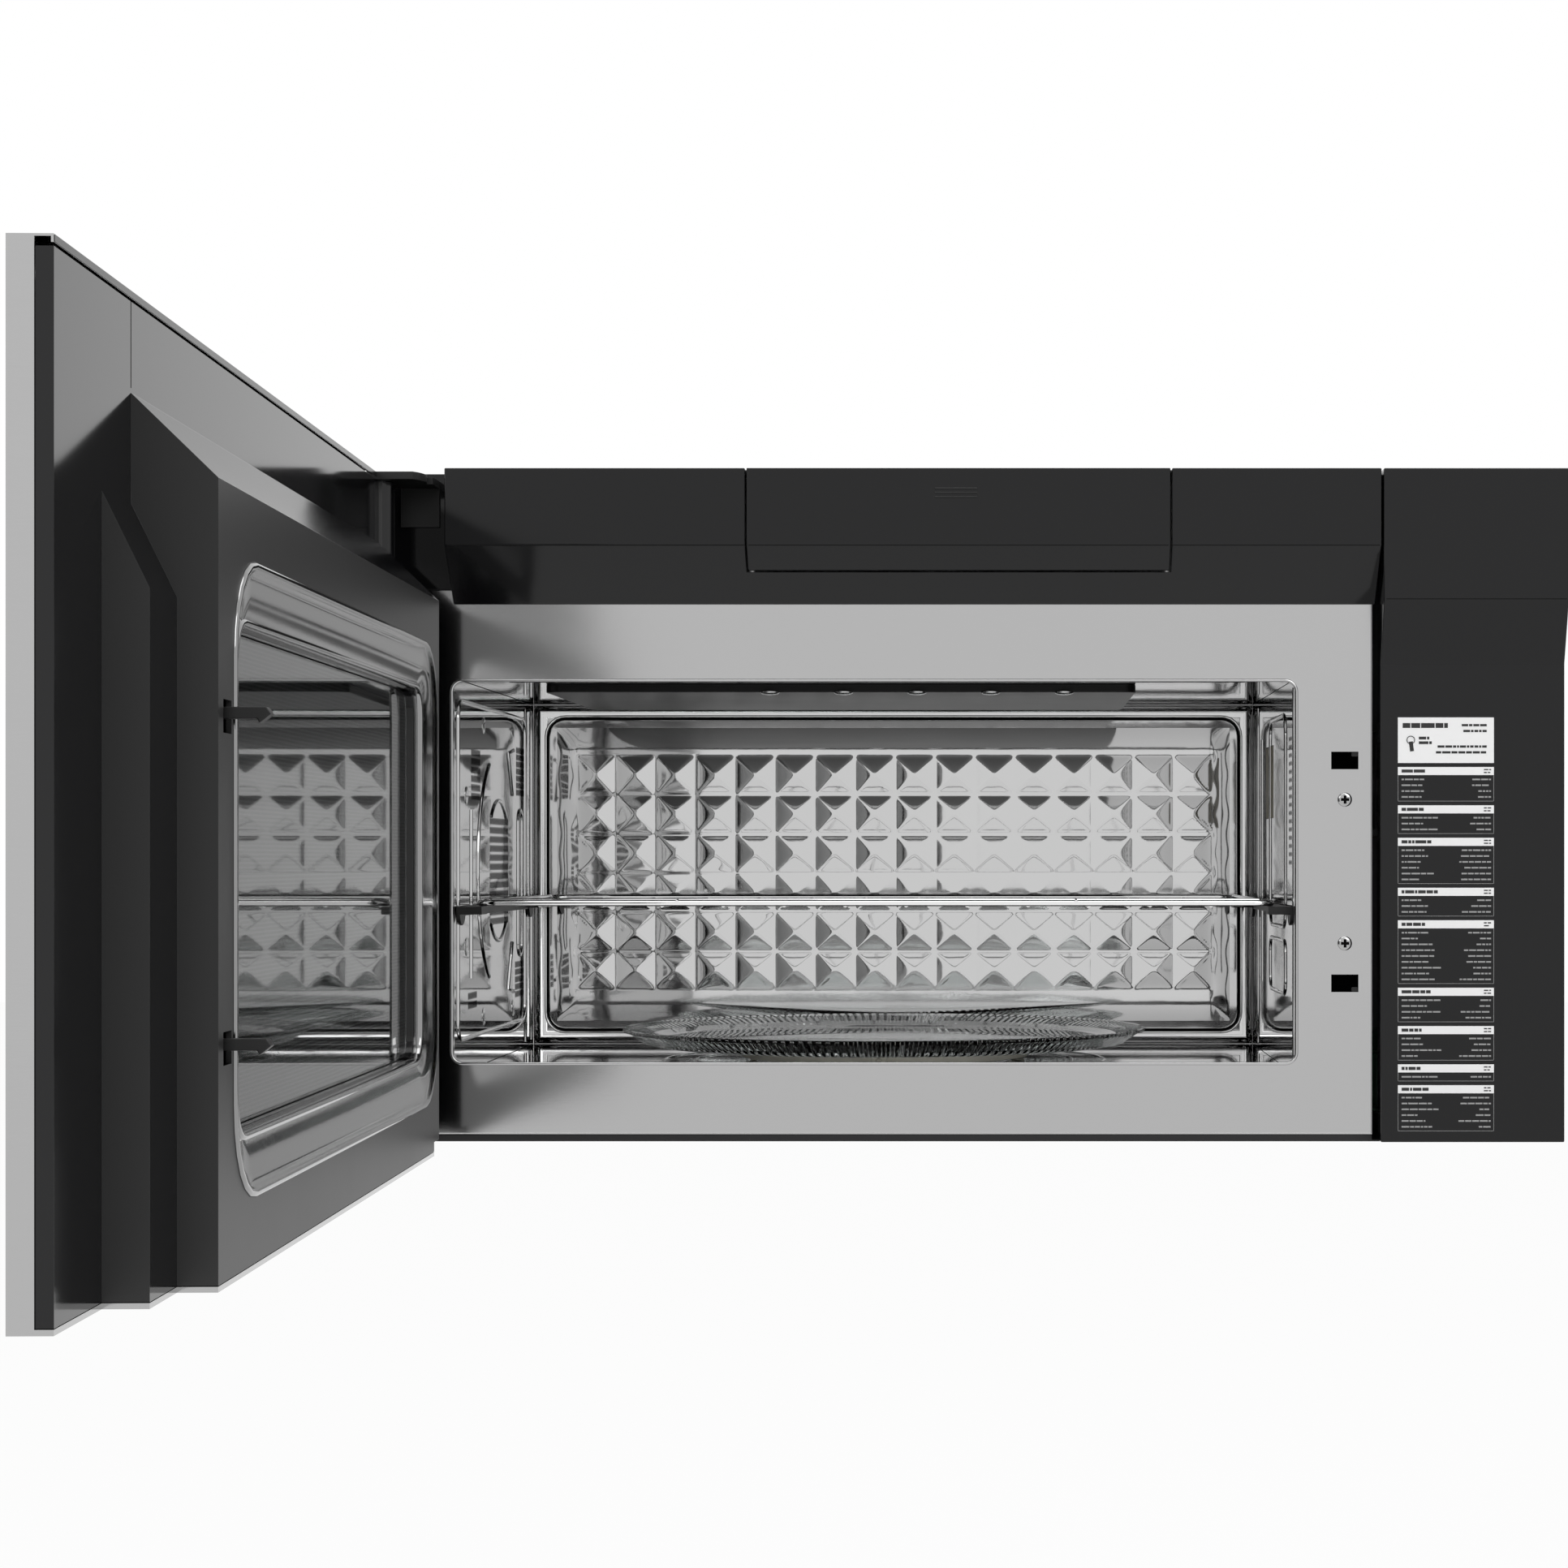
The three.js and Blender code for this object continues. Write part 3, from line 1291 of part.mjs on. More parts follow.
function addExhaust() {
  const half = ductWidth / 2;
  const front = ductBack + ductDepth;
  const seat = bodyHeight + fit;
  const top = bodyHeight + ductHeight;
  const flangeHalf = half + ductFlange;
  const flangeTop = seat + ductFlangeThickness;
  const boreHalf = half - ductWall;
  const adaptor = cut(
    join(
      block(-flangeHalf, flangeHalf, ductBack - ductFlange, front + ductFlange, seat, flangeTop),
      block(-half, half, ductBack, front, seat, top),
    ),
    block(-boreHalf, boreHalf, ductBack + ductWall, front - ductWall, seat - beyond, top + beyond),
  );
  piece('exhaust_adaptor', adaptor, galvanised);

  const flapBottom = bodyHeight + ductHeight / 2;
  const pivotOut = ductBack + ductWall + flapGap;
  const flap = join(
    block(flapGap - half, half - flapGap, pivotOut, front - flapGap - 1, flapBottom, flapBottom + sheet),
    rodX(fit - boreHalf, boreHalf - fit, pivotOut, flapBottom + sheet, 2, 12),
  );
  piece('exhaust_damper', flap, galvanised);
}

function addMicrowaveSource() {
  const guideLeft = cavityRight + linerSheet + fit;
  const guideRight = guideLeft + guideDepth;
  const out0 = feedOut - guideHalfWidth;
  const out1 = feedOut + guideHalfWidth;
  const z0 = feedHeight - guideHalfHeight;
  const z1 = feedHeight + guideHalfHeight;
  const guide = cut(
    block(guideLeft, guideRight, out0, out1, z0, z1),
    block(guideLeft - beyond, guideRight - sheet, out0 + sheet, out1 - sheet, z0 + sheet, z1 - sheet),
    rodX(guideLeft, guideRight + beyond, feedOut, feedHeight, antennaRadius + 3, 20),
  );
  piece('waveguide', guide, galvanised);

  const frameLeft = guideRight + fit;
  const frameEnd = frameLeft + magnetronLength;
  const plate = 3;
  const low = feedHeight - magnetronHalfHeight;
  const high = feedHeight + magnetronHalfHeight;
  const near = feedOut - magnetronHalfWidth;
  const far = feedOut + magnetronHalfWidth;
  let tube = join(
    block(frameLeft, frameLeft + plate, near - 8, far + 8, low, high),
    block(frameEnd - plate, frameEnd, near - 2, far + 2, low, high),
    rodX(frameLeft - antennaReach, frameEnd, feedOut, feedHeight, antennaRadius, 12),
    rodX(frameLeft, frameEnd, feedOut, feedHeight, 20, 12),
    block(frameLeft, frameEnd, near, far, low, low + plate + 2),
  );
  for (let index = 0; index < magnetronFins; index += 1) {
    const x = frameLeft + 12 + index * magnetronFinPitch;
    tube = join(tube, block(x, x + sheet, near, far, low + plate, high - 4));
  }
  piece('magnetron', tube, galvanised);
}

// A board on four feet, with a choke, a capacitor and a finned heat sink.
function addInverter() {
  const right = side - inverterInset;
  const left = right - inverterWidth;
  const front = inverterBack + inverterDepth;
  const boardBottom = sheet + inverterStandoff;
  const foot = boardBottom + inverterBoard / 2;
  const footInset = 8;
  let inverter = join(
    block(left, right, inverterBack, front, boardBottom, boardBottom + inverterBoard),
    block(left + 12, left + 62, inverterBack + 15, inverterBack + 70, foot, boardBottom + 48),
    rodZ(left + 30, front - 30, foot, boardBottom + 36, 14, 20),
  );
  for (let index = 0; index < inverterFins; index += 1) {
    const x = left + 74 + index * inverterFinPitch;
    inverter = join(inverter, block(x, x + 2, inverterBack + 15, front - 30, foot, boardBottom + 38));
  }
  for (const x of [left + footInset, right - footInset]) {
    for (const out of [inverterBack + footInset, front - footInset]) {
      inverter = join(inverter, rodZ(x, out, sheet + fit, foot, 3, 8));
    }
  }
  piece('power_inverter', inverter, greenBoard);
}

// A bulb in its socket, drawn along x from the bulb's tip.
function bulbAndSocket(x, out, z) {
  return join(
    rodX(x, x + bulbLength, out, z, bulbRadius, 16),
    rodX(x + bulbLength - 4, x + 2 * bulbLength - 4, out, z, socketRadius, 16),
  );
}

function addLamps() {
  const wall = cavityRight + linerSheet + fit;
  const bracketTop = lampHoleHeight - socketRadius + 0.5;
  const bracket = block(wall, wall + 40, lampHoleOut - 20, lampHoleOut + 20, bracketTop - 4.5, bracketTop);
  piece('cavity_lamp', join(bulbAndSocket(wall + 4, lampHoleOut, lampHoleHeight), bracket), palePlastic);

  const out = lampCoverOut + lampCoverDepth / 2;
  const roof = cavityFloor - linerSheet;
  const z = roof - cooktopLampDrop;
  const hanger = block(14, 16 + socketRadius, out - 8, out + 8, z, roof - fit);
  piece('cooktop_lamp', join(bulbAndSocket(-24, out, z), hanger), palePlastic);
}

function addUnderside() {
  const half = greaseFilterWidth / 2;
  const front = greaseFilterOut + greaseFilterDepth;
  const filterTop = greaseFilterRise + greaseFilterThickness;
  for (const [end, way] of [['left', -1], ['right', 1]]) {
    const x = way * greaseFilterOffset;
    const filter = block(x - half, x + half, greaseFilterOut, front, greaseFilterRise, filterTop);
    piece(`grease_filter_${end}`, filter, filterMesh);
  }
  const lensHalf = lampCoverWidth / 2;
  const lensFront = lampCoverOut + lampCoverDepth;
  const lens = block(-lensHalf, lensHalf, lampCoverOut, lensFront, 0, lampCoverThickness);
  piece('cooktop_lamp_cover', lens, clearGlass);
}

addMountingPlate();
addShell();
addCordGland();
addFrontFrame();
addLatchHousing();
addCavity();
addFascia();
addColumn();
addHinges();
addDoorSkin();
addDoorLiner();
addDoorLatch();
addTurntableDrive();
addRollerRing();
addPlate();
addRack();
addConvection();
addVentBlower();
addExhaust();
addMicrowaveSource();
addInverter();
addLamps();
addUnderside();

export default microwave;
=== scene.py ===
import json
import math
import random

import bpy
from mathutils import Matrix, Vector

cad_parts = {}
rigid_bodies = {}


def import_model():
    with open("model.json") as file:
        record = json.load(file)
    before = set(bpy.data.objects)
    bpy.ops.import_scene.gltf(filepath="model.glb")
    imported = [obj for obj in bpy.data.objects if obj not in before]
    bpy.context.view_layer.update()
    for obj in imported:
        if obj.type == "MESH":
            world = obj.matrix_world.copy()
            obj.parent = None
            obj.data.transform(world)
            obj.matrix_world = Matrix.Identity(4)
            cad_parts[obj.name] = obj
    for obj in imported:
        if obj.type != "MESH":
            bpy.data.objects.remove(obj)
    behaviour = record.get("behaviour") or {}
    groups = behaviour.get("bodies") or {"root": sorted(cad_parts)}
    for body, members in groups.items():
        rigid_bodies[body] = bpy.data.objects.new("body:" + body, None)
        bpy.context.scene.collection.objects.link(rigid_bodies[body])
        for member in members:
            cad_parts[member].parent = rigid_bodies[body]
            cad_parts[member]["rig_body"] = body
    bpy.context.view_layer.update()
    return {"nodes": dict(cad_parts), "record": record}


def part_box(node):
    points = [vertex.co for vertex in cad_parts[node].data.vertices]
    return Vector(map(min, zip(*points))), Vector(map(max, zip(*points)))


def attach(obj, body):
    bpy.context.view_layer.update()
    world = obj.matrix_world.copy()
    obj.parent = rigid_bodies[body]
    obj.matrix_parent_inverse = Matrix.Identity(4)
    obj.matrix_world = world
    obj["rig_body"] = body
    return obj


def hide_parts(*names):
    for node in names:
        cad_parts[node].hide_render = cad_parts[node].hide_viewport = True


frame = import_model()
nodes = frame["nodes"]
record = frame["record"]
mm = 0.001

# places read from the frame; the walls are in mm
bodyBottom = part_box("rear_panel")[0].z
wallLeft = (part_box("cavity_left_wall")[0].x + 0.8 * mm) / mm
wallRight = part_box("cavity_right_wall")[0].x / mm
hinge = next(joint for joint in record["behaviour"]["joints"] if joint["name"] == "door_hinge")
hingeAxis = Vector(hinge["pos_m"])
openAngle = math.radians(hinge["range_deg"][1])


def deselectAll():
    bpy.ops.object.select_all(action="DESELECT")


def makeActive(piece):
    deselectAll()
    piece.select_set(True)
    bpy.context.view_layer.objects.active = piece


def editMode(piece, kind="VERT", action="SELECT"):
    makeActive(piece)
    bpy.ops.object.mode_set(mode="EDIT")
    bpy.ops.mesh.select_mode(type=kind)
    bpy.ops.mesh.select_all(action=action)


def objectMode():
    bpy.ops.object.mode_set(mode="OBJECT")


def applyPlace(piece):
    makeActive(piece)
    bpy.ops.object.transform_apply(location=True, rotation=True, scale=True)


def addObject(name, data):
    piece = bpy.data.objects.new(name, data)
    bpy.context.scene.collection.objects.link(piece)
    return piece


def addMesh(name, points, edges, faces):
    mesh = bpy.data.meshes.new(name)
    mesh.from_pydata(points, edges, faces)
    return addObject(name, mesh)


# adds one modifier with its settings and applies it
def modify(piece, kind, **settings):
    modifier = piece.modifiers.new("change", kind)
    for label, value in settings.items():
        setattr(modifier, label, value)
    makeActive(piece)
    bpy.ops.object.modifier_apply(modifier=modifier.name)


def joinPieces(name, pieces):
    deselectAll()
    for piece in pieces:
        piece.select_set(True)
    bpy.context.view_layer.objects.active = pieces[0]
    if len(pieces) > 1:
        bpy.ops.object.join()
    joined = bpy.context.view_layer.objects.active
    joined.name = name
    joined.data.name = name
    return joined


def smooth(piece, angle=30):
    makeActive(piece)
    bpy.ops.object.shade_smooth_by_angle(angle=math.radians(angle))


# flat faces keep their own shading beside the rounded edges
def bevelEdges(piece, width, segments=3, angle=30):
    limit = math.radians(angle)
    modify(piece, "BEVEL", width=width, segments=segments, limit_method="ANGLE", angle_limit=limit)
    smooth(piece, angle + 10)
    modify(piece, "WEIGHTED_NORMAL", keep_sharp=True, weight=100)


def bodyOf(node):
    return nodes[node]["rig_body"]


def dress(piece, finish, body, replaced):
    piece.data.materials.clear()
    piece.data.materials.append(materials[finish])
    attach(piece, body)
    if replaced:
        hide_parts(*replaced)


# a piece that stands for a frame node
def dressAs(piece, finish, node):
    dress(piece, finish, bodyOf(node), [node])


# a piece that is added to a frame node
def dressWith(piece, finish, node):
    dress(piece, finish, bodyOf(node), ())


# a merged copy of a frame node, with its flat faces made whole again
def copyOfNode(node, name):
    piece = nodes[node].copy()
    piece.data = nodes[node].data.copy()
    piece.name = name
    piece.data.name = name
    piece.parent = None
    for key in list(piece.keys()):
        del piece[key]
    bpy.context.scene.collection.objects.link(piece)
    editMode(piece)
    bpy.ops.mesh.customdata_custom_splitnormals_clear()
    bpy.ops.mesh.remove_doubles(threshold=0.02 * mm)
    bpy.ops.mesh.dissolve_limited(angle_limit=math.radians(0.5))
    objectMode()
    return piece


# frame_node becomes frameNode
def plainName(node):
    first, *others = node.split("_")
    return first + "".join(word.title() for word in others)


# the node's own shape with rounded edges, widths in mm
def roundedNode(node, finish, width, segments=3, angle=30):
    piece = copyOfNode(node, plainName(node))
    bevelEdges(piece, width * mm, segments, angle)
    dressAs(piece, finish, node)


def cube(name, low, high):
    deselectAll()
    low = Vector(low)
    high = Vector(high)
    bpy.ops.mesh.primitive_cube_add(size=1, location=(low + high) / 2)
    piece = bpy.context.active_object
    piece.name = name
    piece.scale = high - low
    applyPlace(piece)
    return piece


def unitCube():
    return cube("mark", (-0.5, -0.5, -0.5), (0.5, 0.5, 0.5))


def ball(segments):
    deselectAll()
    bpy.ops.mesh.primitive_uv_sphere_add(segments=segments, ring_count=10, radius=1)
    piece = bpy.context.active_object
    smooth(piece, 60)
    return piece


# a round wire through a list of points
def wire(name, points, radius, closed=False, rings=3):
    curve = bpy.data.curves.new(name, "CURVE")
    curve.dimensions = "3D"
    curve.bevel_depth = radius
    curve.bevel_resolution = rings
    curve.use_fill_caps = not closed
    spline = curve.splines.new("POLY")
    spline.points.add(len(points) - 1)
    for spot, place in zip(spline.points, points):
        spot.co = (*place, 1)
    spline.use_cyclic_u = closed
    makeActive(addObject(name, curve))
    bpy.ops.object.convert(target="MESH")
    piece = bpy.context.active_object
    smooth(piece, 50)
    return piece


def arcPoints(centreX, centreZ, radius, start, end, steps):
    angles = [math.radians(start + (end - start) * step / steps) for step in range(steps + 1)]
    return [(centreX + radius * math.cos(a), centreZ + radius * math.sin(a)) for a in angles]


# points of a rounded rectangle, in its own plane
def roundedLoop(left, right, low, high, corner, steps=6):
    points = []
    for x, z, start in ((right, low, -90), (right, high, 0), (left, high, 90), (left, low, 180)):
        centreX = x - corner if x == right else x + corner
        centreZ = z - corner if z == high else z + corner
        points += arcPoints(centreX, centreZ, corner, start, start + 90, steps)
    return points


def cutWith(piece, cutter, solver="MANIFOLD"):
    modify(piece, "BOOLEAN", operation="DIFFERENCE", solver=solver, object=cutter)
    bpy.data.objects.remove(cutter)


# a profile of (radius, height) in mm turned about an upright axis
def lathe(name, profile, centre, base=0, steps=96):
    spots = [(centre[0] + radius * mm, centre[1], base + height * mm) for radius, height in profile]
    piece = addMesh(name, spots, [(i, i + 1) for i in range(len(spots) - 1)], [])
    editMode(piece)
    bpy.ops.mesh.spin(steps=steps, angle=2 * math.pi, center=(centre[0], centre[1], 0), axis=(0, 0, 1))
    bpy.ops.mesh.select_all(action="SELECT")
    bpy.ops.mesh.remove_doubles(threshold=0.005 * mm)
    bpy.ops.mesh.normals_make_consistent(inside=False)
    objectMode()
    smooth(piece, 35)
    return piece


# turns a piece made upright at the origin so that it points along an axis from a place
def standAt(piece, place, axis):
    turn = Vector(axis).to_track_quat("Z", "Y").to_matrix().to_4x4()
    piece.matrix_world = Matrix.Translation(place) @ turn
    applyPlace(piece)
    return piece


# a place on the body in mm: from the centre, from the wall, above the body's bottom
def at(x, out, z):
    return Vector((x * mm, -out * mm, bodyBottom + z * mm))


# a place on the shut door in mm from its hinge axis
def onDoor(x, out, z):
    return Vector((hingeAxis.x + x * mm, hingeAxis.y - out * mm, bodyBottom + z * mm))


# pieces of the door are made shut and then swung to where it stands
def swingDoor(piece):
    pivot = Matrix.Translation((hingeAxis.x, hingeAxis.y, 0))
    piece.matrix_world = pivot @ Matrix.Rotation(-openAngle, 4, "Z") @ pivot.inverted() @ piece.matrix_world
    applyPlace(piece)
    return piece


# copies of one piece, each with its own mesh, moved and scaled, and joined
def stamped(name, pattern, places):
    copies = []
    for place, scale in places:
        copy = addObject(name, pattern.data.copy())
        copy.data.transform(Matrix.Translation(place) @ Matrix.Diagonal((*scale, 1)))
        copies.append(copy)
    bpy.data.objects.remove(pattern)
    return joinPieces(name, copies)


# rounds the edges of a box that run along one axis
def roundAlong(piece, axis, radius, segments):
    editMode(piece, "EDGE", "DESELECT")
    objectMode()
    for edge in piece.data.edges:
        first, second = (piece.data.vertices[i].co for i in edge.vertices)
        edge.select = all(abs(first[i] - second[i]) < 0.001 * mm for i in range(3) if i != axis)
    bpy.ops.object.mode_set(mode="EDIT")
    bpy.ops.mesh.bevel(offset=radius, segments=segments, affect="EDGES")
    objectMode()


# a flat plate with rounded corners and eased edges, both in mm
def roundedPlate(name, low, high, corner, edge, axis=1):
    piece = cube(name, low, high)
    roundAlong(piece, axis, corner * mm, 6)
    if edge:
        bevelEdges(piece, edge * mm, 2)
    else:
        smooth(piece)
    return piece


# a raised line on a wall, flattened against the plane that crosses the axis there; width and height in mm
def ridge(name, points, width, height, axis, plane, closed=False):
    piece = wire(name, points, width / 2 * mm, closed, 2)
    editMode(piece)
    scale = [1, 1, 1]
    centre = [0, 0, 0]
    scale[axis] = 2 * height / width
    centre[axis] = plane
    bpy.ops.transform.resize(value=scale, center_override=centre)
    objectMode()
    return piece


# the photograph's place of view: metres, and the picture's own pixels
view = {
    "x": 0.027, "y": -2.310, "aboveBottom": 0.176, "focalPixels": 3798, "imagePixels": 1932,
    "centreX": 1228, "centreY": 1060, "sensor": 36, "near": 0.05, "far": 60,
}


def addCamera():
    data = bpy.data.cameras.new("camera")
    piece = addObject("camera", data)
    size = view["imagePixels"]
    data.sensor_width = view["sensor"]
    data.sensor_fit = "HORIZONTAL"
    data.lens = view["focalPixels"] / size * data.sensor_width
    data.shift_x = (size / 2 - view["centreX"]) / size
    data.shift_y = (view["centreY"] - size / 2) / size
    data.clip_start = view["near"]
    data.clip_end = view["far"]
    piece.location = (view["x"], view["y"], bodyBottom + view["aboveBottom"])
    piece.rotation_euler = (math.pi / 2, 0, 0)
    bpy.context.scene.camera = piece


# constants and links go to a node's inputs by name or number
def fillInputs(tree, node, inputs):
    for label, value in inputs.items():
        if isinstance(value, bpy.types.NodeSocket):
            tree.links.new(value, node.inputs[label])
        else:
            node.inputs[label].default_value = value


def addNode(tree, kind, inputs=(), **settings):
    node = tree.nodes.new("ShaderNode" + kind)
    for label, value in settings.items():
        setattr(node, label, value)
    fillInputs(tree, node, dict(inputs))
    return node.outputs


def addMath(tree, operation, *values, clamp=False):
    return addNode(tree, "Math", dict(enumerate(values)), operation=operation, use_clamp=clamp)[0]


def newShader(name):
    material = bpy.data.materials.new(name)
    material.use_nodes = True
    return material, material.node_tree, material.node_tree.nodes["Principled BSDF"]


# 1 where the camera, a reflection or a glass looks, 0 for the light itself
def seenMask(tree):
    path = addNode(tree, "LightPath")
    seen = addMath(tree, "MAXIMUM", path["Is Camera Ray"], path["Is Glossy Ray"])
    return addMath(tree, "MAXIMUM", seen, path["Is Transmission Ray"])


studio = {
    "ambient": 0.5, "aim": (0, -0.4, 0),
    "lamps": {
        "keyLamp": {"place": (1.5, -2.7, 1.7), "size": (1.6, 1.6), "power": 26},
        "fillLamp": {"place": (-2.0, -2.3, 0.9), "size": (1.6, 1.6), "power": 15},
        "topLamp": {"place": (0, -0.7, 2.2), "size": (1.8, 1.4), "power": 18},
    },
}


def addWorld():
    world = bpy.data.worlds.new("studio")
    bpy.context.scene.world = world
    world.use_nodes = True
    tree = world.node_tree
    tree.nodes.clear()
    white = (1, 1, 1, 1)
    light = addNode(tree, "Background", {"Color": white, "Strength": studio["ambient"]})[0]
    seen = addNode(tree, "Background", {"Color": white})[0]
    mix = addNode(tree, "MixShader", {0: seenMask(tree), 1: light, 2: seen})[0]
    addNode(tree, "OutputWorld", {"Surface": mix})


def addLamp(name, values):
    data = bpy.data.lights.new(name, "AREA")
    data.shape = "RECTANGLE"
    data.size, data.size_y = values["size"]
    data.energy = values["power"]
    piece = addObject(name, data)
    piece.location = values["place"]
    aim = Vector(studio["aim"]) - piece.location
    piece.rotation_euler = aim.to_track_quat("-Z", "Y").to_euler()


floorSheet = {
    "size": 30, "drop": 0.62, "white": 0.94, "tone": (0.88, 0.92), "grain": 4, "roughness": 0.8,
}


# white wherever it is looked at, yet it still takes the shadow
def addFloor():
    size = floorSheet
    material, tree, shader = newShader("paleFloor")
    grain = addNode(tree, "TexNoise", {"Scale": size["grain"]})["Fac"]
    low, high = size["tone"]
    tone = addNode(tree, "MapRange", {"Value": grain, "To Min": low, "To Max": high})["Result"]
    fillInputs(tree, shader, {"Base Color": tone, "Roughness": size["roughness"]})
    share = addMath(tree, "MULTIPLY", seenMask(tree), size["white"])
    white = addNode(tree, "Emission")[0]
    mix = addNode(tree, "MixShader", {0: share, 1: shader.outputs[0], 2: white})[0]
    fillInputs(tree, tree.nodes["Material Output"], {"Surface": mix})
    deselectAll()
    bpy.ops.mesh.primitive_plane_add(size=size["size"], location=(0, 0, bodyBottom - size["drop"]))
    floor = bpy.context.active_object
    floor.name = "floor"
    applyPlace(floor)
    floor.data.materials.append(material)


# a group's inputs with their defaults: four numbers are a colour, three a vector
def newGroup(name, inputs):
    kinds = {4: "NodeSocketColor", 3: "NodeSocketVector", 1: "NodeSocketFloat"}
    group = bpy.data.node_groups.new(name, "ShaderNodeTree")
    for label, value in inputs.items():
        kind = kinds[len(value) if isinstance(value, tuple) else 1]
        socket = group.interface.new_socket(name=label, in_out="INPUT", socket_type=kind)
        socket.default_value = value
    for label, count in (("Color", 4), ("Roughness", 1), ("Height", 1)):
        group.interface.new_socket(name=label, in_out="OUTPUT", socket_type=kinds[count])
    return group, group.nodes.new("NodeGroupInput").outputs, group.nodes.new("NodeGroupOutput")


def addNoise(tree, place, scale, detail):
    return addNode(tree, "TexNoise", {"Vector": place, "Scale": scale, "Detail": detail})["Fac"]


def addScaled(tree, colour, factor):
    return addNode(tree, "VectorMath", {0: colour, "Scale": factor}, operation="SCALE")[0]


# soft blotches that vary the tone and the gloss, with a fine grain for height
def makeVariationGroup():
    tree, given, result = newGroup("surfaceVariation", {
        "Color": (0.5, 0.5, 0.5, 1), "Tone": 0.1, "Roughness": 0.4, "Gloss Change": 0.1,
        "Blotch Scale": 8.0, "Grain Scale": 900.0,
    })
    place = addNode(tree, "TexCoord")["Object"]
    blotch = addNoise(tree, place, given["Blotch Scale"], 6)
    grain = addNoise(tree, place, given["Grain Scale"], 2)
    centred = addMath(tree, "SUBTRACT", blotch, 0.5)
    toned = addMath(tree, "MULTIPLY_ADD", centred, given["Tone"], 1)
    gloss = addMath(tree, "MULTIPLY_ADD", centred, given["Gloss Change"], given["Roughness"], clamp=True)
    colour = addScaled(tree, given["Color"], toned)
    fillInputs(tree, result, {"Color": colour, "Roughness": gloss, "Height": grain})
    return tree


# fine parallel scratches, long in the direction whose stretch is small
def makeBrushedGroup():
    tree, given, result = newGroup("brushedGrain", {
        "Color": (0.6, 0.6, 0.6, 1), "Stretch": (1, 1, 1), "Roughness": 0.3, "Amount": 0.1,
    })
    place = addNode(tree, "TexCoord")["Object"]
    drawn = addNode(tree, "Mapping", {"Vector": place, "Scale": given["Stretch"]})["Vector"]
    fine = addNoise(tree, drawn, 60, 5)
    broad = addNoise(tree, place, 3, 3)
    centred = addMath(tree, "SUBTRACT", addMath(tree, "MULTIPLY_ADD", broad, 0.4, fine), 0.7)
    toned = addMath(tree, "MULTIPLY_ADD", centred, given["Amount"], 1)
    rough = addMath(tree, "MULTIPLY_ADD", centred, given["Amount"], given["Roughness"], clamp=True)
    colour = addScaled(tree, given["Color"], toned)
    fillInputs(tree, result, {"Color": colour, "Roughness": rough, "Height": fine})
    return tree


# staggered rows of small round holes on two axes of the object's own space
def makeHoleGroup():
    tree, given, result = newGroup("holeRows", {
        "Color": (0.02, 0.02, 0.02, 1), "Hole Color": (0, 0, 0, 1), "Turn": (0, 0, 0),
        "Pitch": 0.002, "Hole Size": 0.32, "Roughness": 0.4,
    })
    place = addNode(tree, "TexCoord")["Object"]
    turned = addNode(tree, "Mapping", {"Vector": place, "Rotation": given["Turn"]})["Vector"]
    split = addNode(tree, "SeparateXYZ", {"Vector": turned})
    across = addMath(tree, "DIVIDE", split["X"], given["Pitch"])
    upward = addMath(tree, "DIVIDE", split["Z"], given["Pitch"])
    odd = addMath(tree, "MULTIPLY", addMath(tree, "PINGPONG", addMath(tree, "FLOOR", upward), 1), 0.5)
    cellX = addMath(tree, "SUBTRACT", addMath(tree, "FRACT", addMath(tree, "ADD", across, odd)), 0.5)
    cellZ = addMath(tree, "SUBTRACT", addMath(tree, "FRACT", upward), 0.5)
    squared = addMath(tree, "MULTIPLY_ADD", cellZ, cellZ, addMath(tree, "MULTIPLY", cellX, cellX))
    hole = addMath(tree, "LESS_THAN", addMath(tree, "SQRT", squared), given["Hole Size"])
    colours = {"Factor": hole, "A": given["Color"], "B": given["Hole Color"]}
    colour = addNode(tree, "Mix", colours, data_type="RGBA")["Result"]
    rough = addMath(tree, "MULTIPLY_ADD", hole, 0.3, given["Roughness"], clamp=True)
    height = addMath(tree, "SUBTRACT", 1, hole)
    fillInputs(tree, result, {"Color": colour, "Roughness": rough, "Height": height})
    return tree


groups = {"variation": makeVariationGroup(), "brushed": makeBrushedGroup(), "holes": makeHoleGroup()}


def newMaterial(name, group, values, bump, **shading):
    material, tree, shader = newShader(name)
    detail = addNode(tree, "Group", node_tree=groups[group])
    fillInputs(tree, detail[0].node, values)
    bumped = addNode(tree, "Bump", {"Strength": bump[0], "Distance": bump[1], "Height": detail["Height"]})
    links = {"Base Color": detail["Color"], "Roughness": detail["Roughness"], "Normal": bumped["Normal"]}
    fillInputs(tree, shader, links)
    fillInputs(tree, shader, {label.replace("_", " "): value for label, value in shading.items()})
    return material


# a grey is given as one number
def asColour(value):
    return (*value, 1) if isinstance(value, tuple) else (value, value, value, 1)


def varied(name, colour, roughness, tone, change, blotch, grain, bump, **shading):
    values = {
        "Color": asColour(colour), "Tone": tone, "Roughness": roughness, "Gloss Change": change,
        "Blotch Scale": blotch, "Grain Scale": grain,
    }
    return newMaterial(name, "variation", values, bump, **shading)


def moulded(name, colour, rough, tone=0.15, change=0.08, blotch=7, grain=900, bump=(0.05, 0.0002), ior=1.4):
    return varied(name, colour, rough, tone, change, blotch, grain, bump, IOR=ior)


def sheetMetal(name, colour, rough, tone=0.08, change=0.08, blotch=9, grain=500, bump=(0.04, 0.0002)):
    return varied(name, colour, rough, tone, change, blotch, grain, bump, IOR=1.5, Metallic=1)


